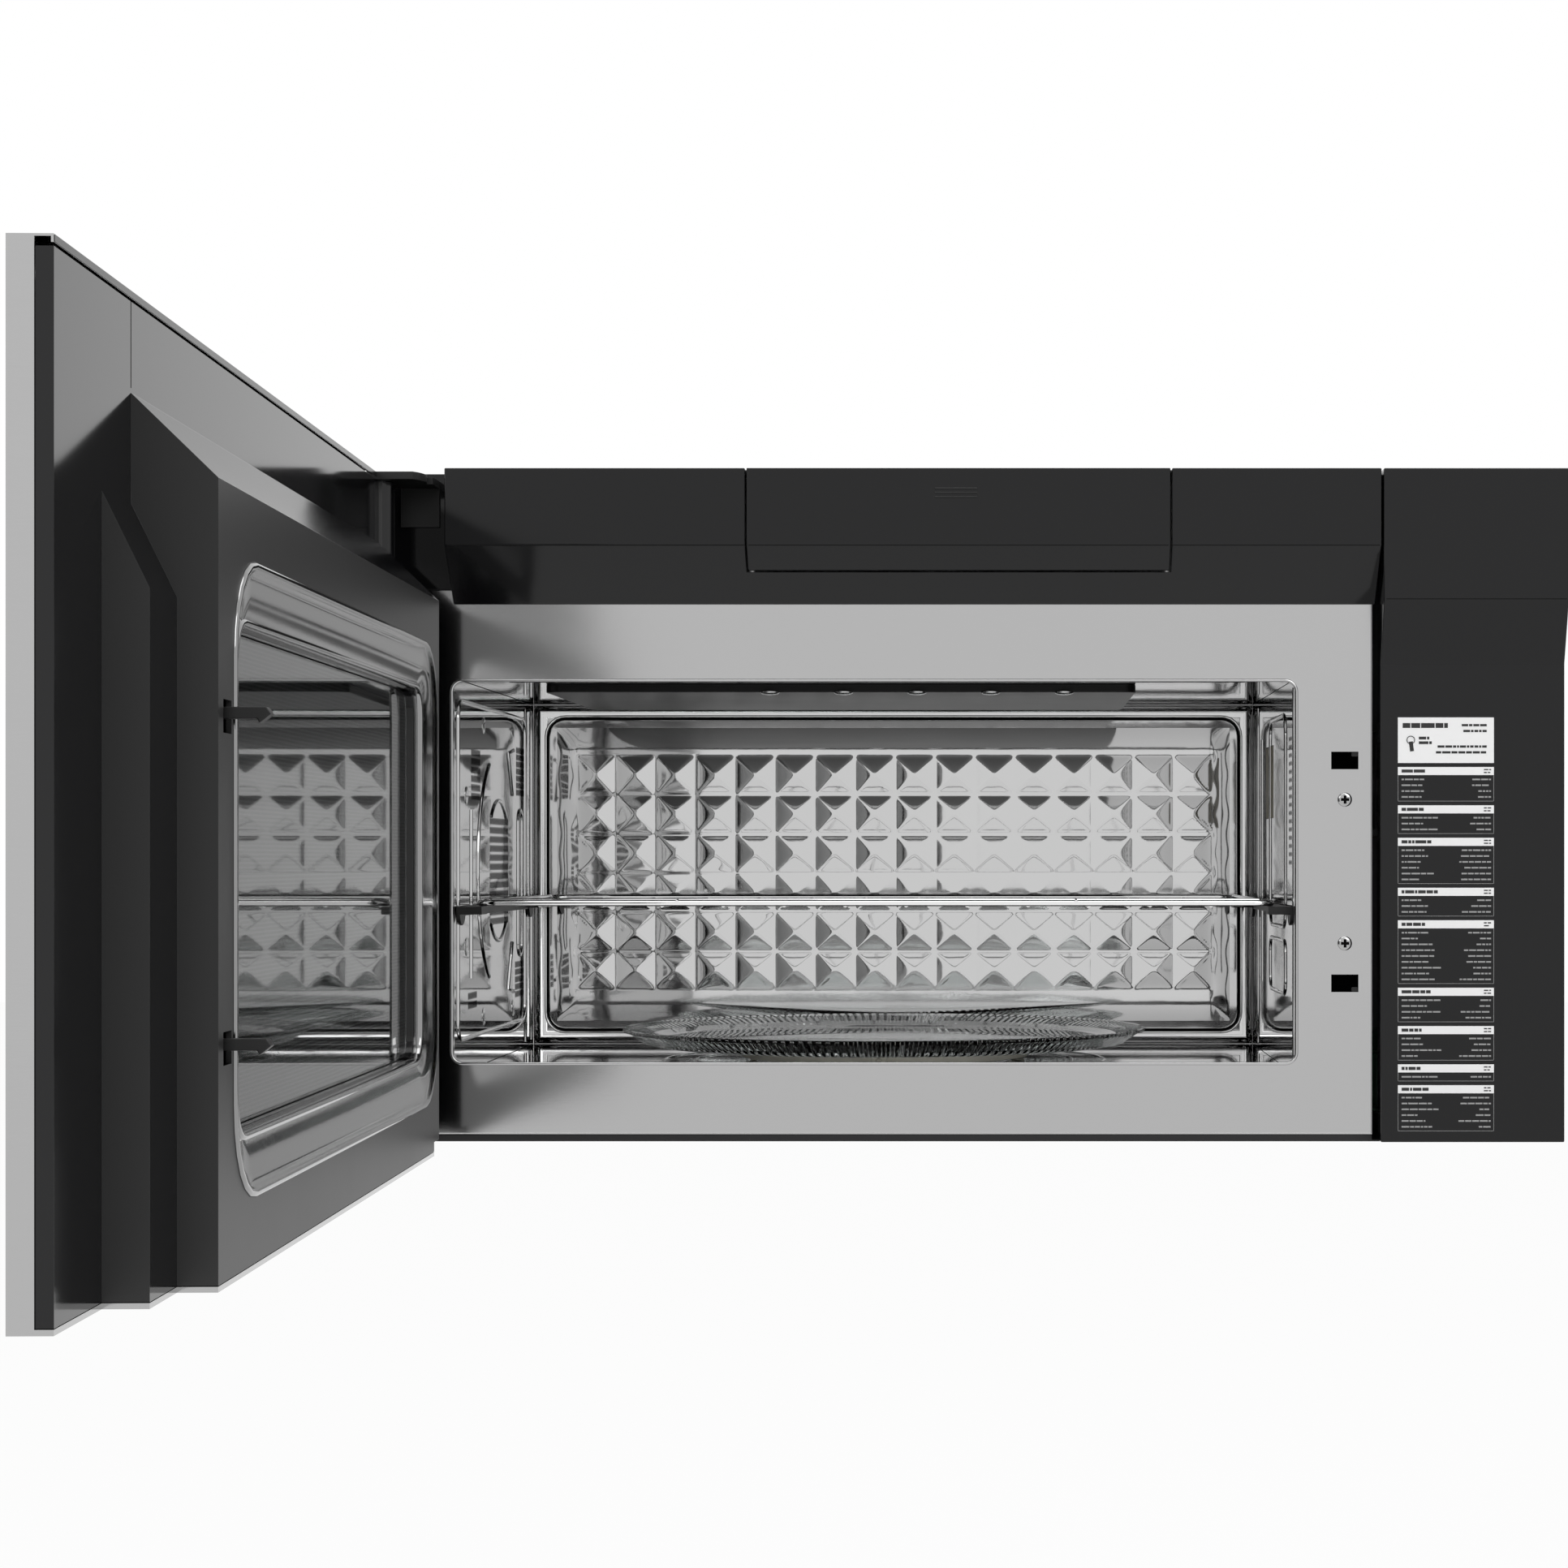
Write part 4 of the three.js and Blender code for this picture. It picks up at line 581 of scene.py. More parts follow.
def glass(name, colour, rough=0.02):
    bump = (0.01, 0.0002)
    return varied(name, colour, rough, 0.02, 0.02, 10, 300, bump, IOR=1.5, Transmission_Weight=1)


def brushed(name, colour, rough, stretch, amount):
    values = {"Color": asColour(colour), "Stretch": stretch, "Roughness": rough, "Amount": amount}
    return newMaterial(name, "brushed", values, (0.03, 0.0002), Metallic=1)


def perforated(name, colour, pitch, hole, turn, metallic, rough):
    values = {
        "Color": asColour(colour), "Hole Color": asColour(0.001), "Turn": turn,
        "Pitch": pitch * mm, "Hole Size": hole, "Roughness": rough,
    }
    return newMaterial(name, "holes", values, (0.3, 0.0003), Metallic=metallic)


black = (0.005, 0.005, 0.0055)
doorTurn = (0, 0, openAngle)
flatTurn = (math.pi / 2, 0, 0)
# blotch scale, grain scale and bump that several finishes share
polished = (5, 1500, (0.008, 0.0001))
satin = (8, 2500, (0.06, 0.0001))
coated = (9, 900, (0.04, 0.0002))
glassy = (4, 1500, (0.003, 0.0001))
materials = {
    "stainless": brushed("brushedStainless", 0.46, 0.13, (1.2, 40, 60), 0.05),
    "trim": sheetMetal("polishedTrim", 0.28, 0.08, 0.04, 0.05),
    "cavity": sheetMetal("polishedCavity", 0.57, 0.05, 0.05, 0.05, 12, 60, (0.05, 0.0006)),
    # the ceiling panel is painted near-black in place of the dark reflection it shows: painted reflection
    "ceilingPaintedReflection": moulded("darkCeilingPaintedReflection", 0.006, 0.34, 0.2, 0.08, *coated, 1.25),
    "galvanised": sheetMetal("galvanisedSheet", (0.47, 0.48, 0.49), 0.42, 0.35, 0.25, 60),
    "blackSheet": moulded("satinBlackSheet", (0.012, 0.012, 0.013), 0.42, 0.2, 0.1),
    "glossBlack": moulded("glossBlackPlastic", black, 0.08, 0.1, 0.03, *polished, 1.37),
    "linerBlack": moulded("doorLinerPlastic", black, 0.10, 0.1, 0.04, *polished, 1.42),
    "satinBlack": moulded("satinBlackPlastic", 0.018, 0.40, 0.1, 0.05, *satin, 1.45),
    "mattBlack": moulded("mattBlackPlastic", 0.009, 0.42),
    "creaseShade": moulded("creaseShade", 0.005, 0.5, 0.1, 0.05, *satin, 1.2),
    # the liner's end faces are painted lighter, a painted reflection
    "linerEndPaintedReflection": moulded("doorLinerEndPaintedReflection", 0.030, 0.45, 0.1, 0.05, *satin, 1.4),
    # painted shade: near-black for the holes' cut edges, the back panel's groove, the screws' recesses and
    # the latch housing seen through its slots; it also colours the liner's seam
    "hole": moulded("paintedShadeAndSeamBlack", 0.001, 0.8, 0.1, 0.05, 9, 900, (0.05, 0.0002), 1.2),
    # the hem's dark strip is painted shade
    "hemPaintedShade": sheetMetal("shadedHem", 0.014, 0.2),
    "screwSteel": sheetMetal("platedSteel", 0.42, 0.16, 0.1, 0.1, 300),
    "chrome": sheetMetal("brightChrome", 0.80, 0.05, 0.03, 0.03),
    "clearGlass": glass("clearGlass", (0.93, 0.95, 0.95)),
    "flutedGlass": glass("flutedGlass", (0.90, 0.94, 0.93), 0.03),
    "paneGlass": glass("windowGlass", (0.55, 0.56, 0.56)),
    "darkGlass": moulded("blackFrontGlass", (0.003, 0.003, 0.0035), 0.03, 0.1, 0.02, *glassy, 1.5),
    "screen": perforated("paintedScreen", 0.018, 2.0, 0.36, doorTurn, 0, 0.4),
    "windowDots": perforated("windowDots", (0.010, 0.010, 0.011), 1.5, 0.34, doorTurn, 0, 0.05),
    "palePlastic": moulded("palePlastic", (0.55, 0.52, 0.45), 0.45),
    "charcoal": moulded("charcoalGranules", 0.012, 0.85, 0.6, 0.2, 160, 400, (0.9, 0.002)),
    "filterMesh": sheetMetal("filterMesh", (0.62, 0.63, 0.63), 0.3, 0.2, 0.2, 120),
    "circuit": moulded("coatedBoard", (0.02, 0.10, 0.045), 0.35, 0.4, 0.1, 90),
    "heater": sheetMetal("heaterSheath", (0.33, 0.27, 0.20), 0.42, 0.5, 0.2, 30),
    "mica": moulded("micaSheet", (0.45, 0.40, 0.28), 0.5, 0.5, 0.2, 40),
    "labelWhite": moulded("labelWhite", 0.95, 0.5, 0.02, 0.05, 30),
    "labelGrey": moulded("labelGrey", 0.35, 0.5, 0.03, 0.05, 30),
    "labelDark": moulded("labelDark", 0.022, 0.45, 0.03, 0.05, 30),
    "motorCase": sheetMetal("motorCase", (0.40, 0.41, 0.42), 0.36, 0.2, 0.15, 30),
    "lens": glass("frostedLens", (0.93, 0.94, 0.94), 0.25),
    "greaseMesh": perforated("greaseMesh", (0.55, 0.56, 0.56), 2.6, 0.36, flatTurn, 1, 0.35),
}

# which finish each frame node takes while it keeps its own shape
finishOfSlot = {
    "stainless": "stainless", "cavity_steel": "cavity", "galvanised": "galvanised",
    "black_sheet": "blackSheet", "gloss_black": "glossBlack", "matt_black": "mattBlack",
    "chrome_wire": "chrome", "clear_glass": "clearGlass", "dark_glass": "darkGlass",
    "pale_plastic": "palePlastic", "charcoal": "charcoal", "filter_mesh": "filterMesh",
    "circuit": "circuit", "heater": "heater", "mica": "mica",
}


def finishFrameNodes():
    for entry in record["subparts"]:
        node = nodes[entry["node"]]
        node.data.materials.clear()
        node.data.materials.append(materials[finishOfSlot[entry["material_slot"]]])


bpy.context.scene.view_settings.view_transform = "Standard"
addCamera()
addWorld()
for lampName, lampValues in studio["lamps"].items():
    addLamp(lampName, lampValues)
addFloor()
finishFrameNodes()
print("stage and finishes ready")


# front covers; numbers are mm on the body
pushMark = {
    "x": 2.0, "z": 402.3, "out": 413.0, "ribs": 3, "width": 26, "pitch": 2.6, "rib": 1.1, "proud": 0.55,
}


def addPushMark():
    size = pushMark
    ribs = []
    for row in range(size["ribs"]):
        z = size["z"] + (row - (size["ribs"] - 1) / 2) * size["pitch"]
        start, end = (at(size["x"] + side * size["width"] / 2, size["out"], z) for side in (-1, 1))
        ribs.append(ridge("rib", [start, end], size["rib"], size["proud"], 1, start.y))
    dressWith(joinPieces("pushRibs", ribs), "mattBlack", "filter_door")


frontFrame = {
    "margin": 1.8, "low": 48.7, "high": 288.7, "corner": 7, "rimOut": 380.2, "rimRadius": 1.0,
    "foot": 5, "top": 415, "hemOut": 379.8, "hemRadius": 0.5,
}


# the stamped frame with its rolled cavity rim
def addFrontFrame():
    size = frontFrame
    sheet = copyOfNode("front_frame", "frontFrame")
    smooth(sheet, 30)
    path = roundedLoop(
        wallLeft + size["margin"], wallRight - size["margin"], size["low"], size["high"], size["corner"],
    )
    rim = wire("rim", [at(x, size["rimOut"], z) for x, z in path], size["rimRadius"] * mm, True, 4)
    inset = size["hemRadius"]
    low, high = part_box("front_frame")
    left, right = low.x / mm + inset, high.x / mm - inset
    edge = [(left, size["foot"]), (right, size["foot"]), (right, size["top"]), (left, size["top"])]
    hem = wire("hem", [at(x, size["hemOut"], z) for x, z in edge], inset * mm, True, 3)
    dressAs(joinPieces("frontFrame", [sheet, rim, hem]), "stainless", "front_frame")


# a screw head's outline as shares of its radius and height, and its crossed recess
def screwHead(name, size, outline, foot, steps):
    profile = [(share * size["radius"], rise * size["height"]) for share, rise in outline] + foot
    head = lathe(name, profile, (0, 0), 0, steps)
    for across, along in ((size["cross"], size["reach"]), (size["reach"], size["cross"])):
        low = Vector((-across, -along, size["height"] - size["deep"])) * mm
        high = Vector((across, along, size["height"] + 1)) * mm
        cutWith(head, cube("cross", low, high))
    smooth(head, 35)
    return head


screw = {
    "radius": 4.5, "height": 1.4, "cross": 0.9, "reach": 2.6, "deep": 1.0, "near": 0.05, "out": 380.3,
    "outline": [(0, 1), (0.45, 0.96), (0.75, 0.78), (0.93, 0.48), (1, 0.1), (0.97, 0)],
    "shank": [(1.9, 0), (1.9, -14), (0, -15)],
}


def addScrew(node):
    size = screw
    low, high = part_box(node)
    head = screwHead(plainName(node), size, size["outline"], size["shank"], 32)
    # the recess is in shade
    recess = [face.index for face in head.data.polygons if inRecess(face, size)]
    standAt(head, Vector(((low.x + high.x) / 2, at(0, size["out"], 0).y, (low.z + high.z) / 2)), (0, -1, 0))
    dressAs(head, "screwSteel", node)
    head.data.materials.append(materials["hole"])
    for index in recess:
        head.data.polygons[index].material_index = 1


def inRecess(face, size):
    height = face.center.z / mm
    reach = math.hypot(face.center.x, face.center.y) / mm
    floor = size["height"] - size["deep"]
    near = size["near"]
    inside = reach < size["reach"] * 1.2 and height > floor - near
    return inside and (face.normal.z < 0.3 or height < floor + near)


# low edge of each tab, above the body's bottom
latchTab = {"left": 249.3, "out": 378.4, "size": (4.2, 1.2, 3.0), "upper": 241.0, "lower": 93.5}


def addLatchTabs():
    size = latchTab
    tabs = []
    for name in ("upper", "lower"):
        low = at(size["left"], size["out"], size[name])
        tabs.append(roundedPlate(name + "Tab", low, low + Vector(size["size"]) * mm, 0.8, 0.2))
    dress(joinPieces("latchSlotTabs", tabs), "mattBlack", "cabinet", ())


# the user label: a white card, then groups, each a white head over an outlined box of rows of short dashes
label = {
    "left": 276.0, "right": 335.6, "top": 264.65, "cardFoot": 236.4, "out": 397.0, "thick": 0.12,
    "groups": [4, 3, 6, 3, 9, 4, 4, 1, 6], "gap": 2.5, "head": 5.0, "margin": 0.9, "row": 3.62,
    "line": 0.22, "dash": 0.95, "dashGap": 0.55, "seed": 11,
    # the card's lines: side, from and to that side, above the card's foot, height, longest dash
    "card": [
        ("left", 3, 31, 23.25, 3.0, 9), ("right", -20, -4.5, 23.45, 1.4, 6),
        ("right", -19, -4.5, 19.85, 1.4, 5), ("left", 13, 21, 15.45, 1.7, 6),
        ("left", 13, 21, 12.55, 1.7, 6), ("right", -35, -4.5, 10.2, 1.4, 6),
        ("right", -36, -4.5, 6.6, 1.4, 6),
    ],
    "sign": (8, 14, 2.4, 0.25, 0.3),
}


def addLabel():
    size = label
    pick = random.Random(size["seed"])
    left = size["left"]
    right = size["right"]
    white, grey, dark = [], [], []

    def bar(where, x0, x1, z0, z1, layer=0):
        place = at((x0 + x1) / 2, size["out"] + size["thick"] * (0.5 + layer), (z0 + z1) / 2)
        where.append((place, (abs(x1 - x0) * mm, size["thick"] * mm, abs(z1 - z0) * mm)))

    def dashes(where, x0, x1, z, high, longest):
        x = x0
        while x < x1 - 1:
            run = min(pick.uniform(1.2, longest), x1 - x)
            bar(where, x, x + run, z - high / 2, z + high / 2, 1 if where is dark else 0)
            x += run + size["dashGap"]

    bar(white, left, right, size["cardFoot"], size["top"])
    for side, start, end, above, high, longest in size["card"]:
        dashes(dark, size[side] + start, size[side] + end, size["cardFoot"] + above, high, longest)
    z = size["cardFoot"]
    for rows in size["groups"]:
        z -= size["gap"]
        middle = z - size["head"] / 2
        bar(white, left, right, z - size["head"], z)
        dashes(dark, left + 2.3, left + pick.uniform(13, 27), middle, 1.9, 7)
        dashes(dark, right - 6.2, right - 1.8, middle + 0.9, 0.7, 3)
        dashes(dark, right - 6.2, right - 1.8, middle - 0.9, 0.7, 3)
        z -= size["head"]
        foot = z - 2 * size["margin"] - rows * size["row"]
        bar(grey, left, left + size["line"], foot, z)
        bar(grey, right - size["line"], right, foot, z)
        bar(grey, left, right, foot, foot + size["line"])
        for row in range(rows):
            height = z - size["margin"] - (row + 0.5) * size["row"]
            dashes(grey, left + 2.3, left + pick.uniform(12, 27), height, size["dash"], 6)
            dashes(grey, right - pick.uniform(8, 22), right - 1.8, height, size["dash"], 5)
        z = foot
    for name, places in (("White", white), ("Lines", grey), ("Dark", dark)):
        printed = stamped("userLabel" + name, unitCube(), places)
        dressWith(printed, "labelGrey" if name == "Lines" else "label" + name, "column_cover")
    # a finger in a ring
    across, down, radius, thick, proud = size["sign"]
    x, top = left + across, size["top"]
    path = [at(x + u, size["out"] + proud, top - down + v) for u, v in arcPoints(0, 0, radius, 0, 345, 24)]
    ring = wire("touchRing", path, thick * mm, True, 1)
    finger = [at(x, size["out"], top - down - 1), at(x + 0.8, size["out"], top - down - 7)]
    dot = ridge("touchDot", finger, 3.0, proud, 1, finger[0].y)
    dressWith(joinPieces("touchSign", [ring, dot]), "labelDark", "column_cover")


# fine dark lines of painted shade along the creases of the fascia and the column, as (from x, to x, out, z)
creases = {
    "width": 0.7, "height": 0.12,
    "filter_door": [(-125.8, 132.8, 412.9, 370.0)],
    "column_cover": [(-311.5, -128.2, 412.9, 370.0), (135.2, 263, 412.9, 370.0),
                     (267, 378, 412.9, 337.0), (267, 378, 396.9, 298.0)],
}


def addCreases(node, name):
    size = creases
    lines = []
    for x0, x1, out, z in size[node]:
        start, end = at(x0, out, z), at(x1, out, z)
        lines.append(ridge("crease", [start, end], size["width"], size["height"], 1, start.y))
    dressWith(joinPieces(name, lines), "creaseShade", node)


roundedNode("upper_fascia", "glossBlack", 0.7, 3, 12)
roundedNode("filter_door", "glossBlack", 0.5, 3, 12)
addPushMark()
roundedNode("column_cover", "glossBlack", 0.8, 3, 12)
addCreases("column_cover", "frontCreases")
addCreases("filter_door", "filterDoorCrease")
addFrontFrame()
addScrew("frame_screw_upper")
addScrew("frame_screw_lower")
addLatchTabs()
addLabel()
print("front covers and label done")


# cavity; numbers are mm on the body, and the walls' numbers say where a sheet's inner face lies
cavity = {
    "left": wallLeft, "right": wallRight, "floor": 40.0, "ceiling": 291.1, "back": 18.0, "front": 378.7,
    "sheet": 0.8, "gap": 0.3, "slot": (2.6, 4.9), "hole": (3.2, 3.2),
}
backPanel = {
    "columns": 16, "rows": 6, "pitchX": 29.6, "pitchZ": 29.1, "left": -285.6, "bottom": 79.4,
    "height": 1.65, "gap": 0.05, "cells": 20, "steep": 40, "bulge": 0.3, "fade": 1.6, "rim": 4.0,
    "proud": 0.04, "ripple": 0.16, "rippleReach": 11.0, "calm": 0.1, "crown": 1.1, "crownSide": 15.0,
    "border": 10.5, "corner": 12.0, "step": 2.0, "groove": 0.8, "bead": 1.0,
}


# height of the pressed pyramids at a place, in cells from the field's lower left corner
def pressedHeight(column, row):
    size = backPanel
    columns = size["columns"]
    rows = size["rows"]
    outside = max(-column, column - columns, -row, row - rows, 0)
    if outside > 0:
        reach = outside * size["pitchX"] / size["rippleReach"]
        wave = math.sin(2 * math.pi * (row + 0.25))
        wave += 0.6 * math.sin(2 * math.pi * (0.5 * column + 0.37 * row))
        beside = column < 0 or column > columns
        return size["ripple"] * (1 if beside else size["calm"]) * wave * reach * math.exp(1 - 2.2 * reach)
    u = abs(2 * (column - math.floor(column)) - 1)
    v = abs(2 * (row - math.floor(row)) - 1)
    # the facets meet in slightly rounded edges
    steep = size["steep"]
    far = math.log(math.exp(steep * u) + math.exp(steep * v)) / steep
    flat = 1 - size["gap"]
    height = min(max((flat - far) / flat, 0), 1)
    height += size["bulge"] * height * (1 - height)
    beside = (column < 0.5 or column > columns - 0.5) and u > v
    if beside or (row < 0.5 and v > u):
        height = height ** size["fade"]
    return size["height"] * height


def easeIn(share):
    share = min(max(share, 0), 1)
    return share * (2 - share)


# a fine grid over the raised panel, drawn out into rows of soft pyramids
def addPyramids(plane, edges):
    size = backPanel
    left, right, floor, ceiling = edges
    margin = size["border"] + 6
    low = at(left + margin, plane, floor + margin)
    high = at(right - margin, plane, ceiling - margin)
    pitchX = size["pitchX"] * mm
    pitchZ = size["pitchZ"] * mm
    deselectAll()
    bpy.ops.mesh.primitive_grid_add(
        x_subdivisions=round((high.x - low.x) / (pitchX / size["cells"])),
        y_subdivisions=round((high.z - low.z) / (pitchZ / size["cells"])),
        size=1, location=(low + high) / 2, rotation=(math.pi / 2, 0, 0),
    )
    field = bpy.context.active_object
    field.scale = (high.x - low.x, high.z - low.z, 1)
    applyPlace(field)
    corner = at(size["left"], 0, size["bottom"])
    top = corner.z + size["rows"] * pitchZ
    for vertex in field.data.vertices:
        x, z = vertex.co.x, vertex.co.z
        sides = min(x - low.x, high.x - x, z - low.z)
        nearest = min(sides, high.z - z)
        # the whole field swells out of the panel, and falls back towards the top
        swell = easeIn(sides / (size["crownSide"] * mm)) * easeIn((high.z - z) / (high.z - top))
        height = pressedHeight((x - corner.x) / pitchX, (z - corner.z) / pitchZ)
        height *= min(nearest / (size["rim"] * mm), 1)
        vertex.co.y -= (height + size["crown"] * swell + size["proud"]) * mm
    smooth(field, 60)
    return field


# the sheet is drawn round into the walls: rings of corners, from the wall to the back
cove = {"radius": 9.0, "steps": 10, "thick": 0.4}


def addCove(edges, back):
    size = cove
    left, right, floor, ceiling = edges
    radius = size["radius"]
    points = []
    for step in range(size["steps"] + 1):
        angle = math.pi / 2 * step / size["steps"]
        inset = radius * (1 - math.cos(angle))
        out = back + radius * (1 - math.sin(angle))
        x0, x1, z0, z1 = left + inset, right - inset, floor + inset, ceiling - inset
        points += [at(x, out, z) for x, z in ((x0, z0), (x1, z0), (x1, z1), (x0, z1))]
    faces = []
    for step in range(size["steps"]):
        for side in range(4):
            first, second = 4 * step + side, 4 * step + (side + 1) % 4
            faces.append((first, second, second + 4, first + 4))
    piece = addMesh("cove", points, [], faces)
    middle = at((left + right) / 2, back + 4 * radius, (floor + ceiling) / 2)
    face = piece.data.polygons[0]
    if face.normal.dot(middle - face.center) < 0:
        piece.data.flip_normals()
    smooth(piece, 40)
    modify(piece, "SOLIDIFY", thickness=size["thick"] * mm, offset=-1)
    return piece


def addCavityBack():
    size = backPanel
    plane = cavity["back"]
    left, right = cavity["left"], cavity["right"]
    floor, ceiling = cavity["floor"] + cavity["gap"], cavity["ceiling"] - cavity["gap"]
    sheet = cube("sheet", at(left, plane, floor), at(right, plane - cavity["sheet"], ceiling))
    bevelEdges(sheet, 0.2 * mm, 1)
    inset = size["border"]
    low = at(left + inset, plane + size["step"], floor + inset)
    high = at(right - inset, plane, ceiling - inset)
    panel = roundedPlate("panel", low, high, size["corner"], 1.0)
    field = addPyramids(plane + size["step"], (left, right, floor, ceiling))

    def rounded(name, beyond, radius, out):
        edge = inset - beyond
        path = roundedLoop(left + edge, right - edge, floor + edge, ceiling - edge, size["corner"] + beyond)
        return wire(name, [at(x, out, z) for x, z in path], radius * mm, True, 2)

    bead = rounded("bead", 2 * size["groove"] + size["bead"], size["bead"], plane + 0.3)
    turned = addCove((left, right, floor, ceiling), plane)
    dressAs(joinPieces("cavityBack", [sheet, panel, field, bead, turned]), "cavity", "cavity_back")
    # a dark wire in the groove round the raised panel is painted shade
    groove = rounded("cavityBackGrooveShade", size["groove"], size["groove"], plane)
    dressWith(groove, "hole", "cavity_back")


# rows of slots cut through a sheet that stands at x, between (out, z) of the first and the last
def cutSlots(sheet, x, grid, slot):
    outRange, zRange, columns, rows = grid
    width, height = slot
    cutter = unitCube()
    cutter.data.transform(Matrix.Diagonal((4 * mm, width * mm, height * mm, 1)))
    roundAlong(cutter, 0, 0.45 * width * mm, 2)
    cutter.data.transform(Matrix.Translation(at(x, outRange[0] + width / 2, zRange[0] + height / 2)))
    stepOut = (outRange[1] - outRange[0] - width) / (columns - 1)
    stepUp = (zRange[1] - zRange[0] - height) / (rows - 1)
    for count, step in ((columns, (0, -stepOut * mm, 0)), (rows, (0, 0, stepUp * mm))):
        modify(cutter, "ARRAY", use_relative_offset=False, use_constant_offset=True,
               constant_offset_displace=step, count=count)
    cutWith(sheet, cutter)


# grids are outRange, zRange, columns, rows; loops and ovals are left, right, low, high, corner
leftWall = {
    "grids": [
        ((263, 298), (215.5, 249), 11, 6), ((73, 110), (222, 257), 12, 7), ((146, 224), (132, 205), 24, 12),
        ((74, 115), (78, 104), 13, 5), ((276, 310), (79, 90), 11, 2),
    ],
    "arcs": [(193, 169, 79, -65, 65, 28), (187, 169, 48, 50, 130, 16), (187, 169, 48, 230, 310, 16)],
    "loops": [(69, 347, 61, 278, 12), (84, 101, 108, 212, 8.4)],
    "lines": [
        [(122, 254), (146, 251), (128, 222)], [(122, 83), (146, 86), (128, 118)],
        [(298, 99), (298, 209)], [(66, 44), (66, 286)], [(38, 44), (38, 286)],
    ],
    "width": 3.0, "height": 1.3, "dimple": (0.9, 6.0, 6.0),
    "dimples": [
        (124.5, 71.5), (249.5, 71.5), (124.5, 266.5), (249.5, 266.5),
        (316, 120), (316, 218), (58, 120), (58, 218),
    ],
}
rightWall = {
    "grids": [((310, 330), (173, 256), 5, 16)], "arcs": [],
    "loops": [(175, 287, 132, 272, 14), (175, 287, 88, 123, 10)],
    "lines": [[(110, 90), (110, 262)], [(75, 44), (75, 286)], [(345, 44), (345, 286)]],
    "width": 3.0, "height": 1.2, "feed": (140, 200, 205, 255),
}


# a side wall's slots and pressed lines; side is -1 on the left and 1 on the right
def addSideWall(name, node, size, side, slot):
    x = cavity["left"] if side < 0 else cavity["right"]
    outer = x + side * cavity["sheet"]
    low = at(min(x, outer), cavity["front"], cavity["floor"] + cavity["gap"])
    high = at(max(x, outer), cavity["back"] - cavity["sheet"], cavity["ceiling"] - cavity["gap"])
    sheet = cube(name, low, high)
    if "feed" in size:
        out0, out1, z0, z1 = size["feed"]
        cutWith(sheet, cube("feed", at(x - 2, out1, z0), at(x + 3, out0, z1)))
    for grid in size["grids"]:
        cutSlots(sheet, x + side * 0.4, grid, slot)
    paths = [(arcPoints(*arc), False) for arc in size["arcs"]]
    paths += [(roundedLoop(*loop), True) for loop in size["loops"]]
    paths += [(line, False) for line in size["lines"]]
    parts = [sheet]
    for path, closed in paths:
        points = [at(x, out, z) for out, z in path]
        parts.append(ridge("ridge", points, size["width"], size["height"], 0, x * mm, closed))
    smooth(sheet, 30)
    if "dimples" in size:
        scale = [value * mm for value in size["dimple"]]
        parts.append(stamped("dimples", ball(20), [(at(x, out, z), scale) for out, z in size["dimples"]]))
    wall = joinPieces(name, parts)
    dressAs(wall, "cavity", node)
    paintShadeInHoles(wall, min(x, outer), max(x, outer))


# the cut edges inside the holes are painted dark as painted shade, like the space behind them
def paintShadeInHoles(wall, low, high):
    wall.data.materials.append(materials["hole"])
    front, back = -(cavity["front"] - 2) * mm, -(cavity["back"] + 2) * mm
    for face in wall.data.polygons:
        inSheet = low * mm < face.center.x < high * mm and front < face.center.y < back
        if inSheet and abs(face.normal.x) < 0.3 and face.area < 0.00001:
            face.material_index = 1


ceilingPanel = {
    "left": -268, "right": 118, "back": 60, "front": 300, "proud": 5.5, "corner": 10, "edge": 0.8,
    "studs": [-121, -73, -25, 23, 71], "studOut": 298, "stud": (6.5, 6.5, 1.8),
    "ribs": [330, 346], "ribMargin": 30, "ribWidth": 4, "ribHeight": 1,
}


# the whole width and depth of the cavity, between two heights
def cavitySheet(name, low, high):
    edge = cavity["sheet"]
    start = at(cavity["left"] - edge, cavity["front"], low)
    return cube(name, start, at(cavity["right"] + edge, cavity["back"] - edge, high))


def addCeiling():
    size = ceilingPanel
    z = cavity["ceiling"]
    parts = [cavitySheet("cavityCeiling", z, z + cavity["sheet"])]
    bevelEdges(parts[0], 0.2 * mm, 1)
    for out in size["ribs"]:
        left, right = cavity["left"] + size["ribMargin"], cavity["right"] - size["ribMargin"]
        line = [at(left, out, z), at(right, out, z)]
        parts.append(ridge("rib", line, size["ribWidth"], size["ribHeight"], 2, line[0].z))
    dressAs(joinPieces("cavityCeiling", parts), "cavity", "cavity_ceiling")
    low = at(size["left"], size["front"], z - size["proud"])
    high = at(size["right"], size["back"], z + 0.1)
    panel = roundedPlate("ceilingPanel", low, high, size["corner"], size["edge"], 2)
    scale = [value * mm for value in size["stud"]]
    places = [(at(x, size["studOut"], z - size["proud"]), scale) for x in size["studs"]]
    studs = stamped("ceilingStuds", ball(24), places)
    # the raised ceiling panel takes the painted-reflection black
    dressWith(panel, "ceilingPaintedReflection", "cavity_ceiling")
    dressWith(studs, "cavity", "cavity_ceiling")


# the turntable's centre, and the rings pressed into the floor round it
turntable = {
    "x": -49.7, "out": 200.5, "hole": 9.0, "rings": [150, 128, 86], "ringWidth": 3.0, "ringHeight": 0.9,
}


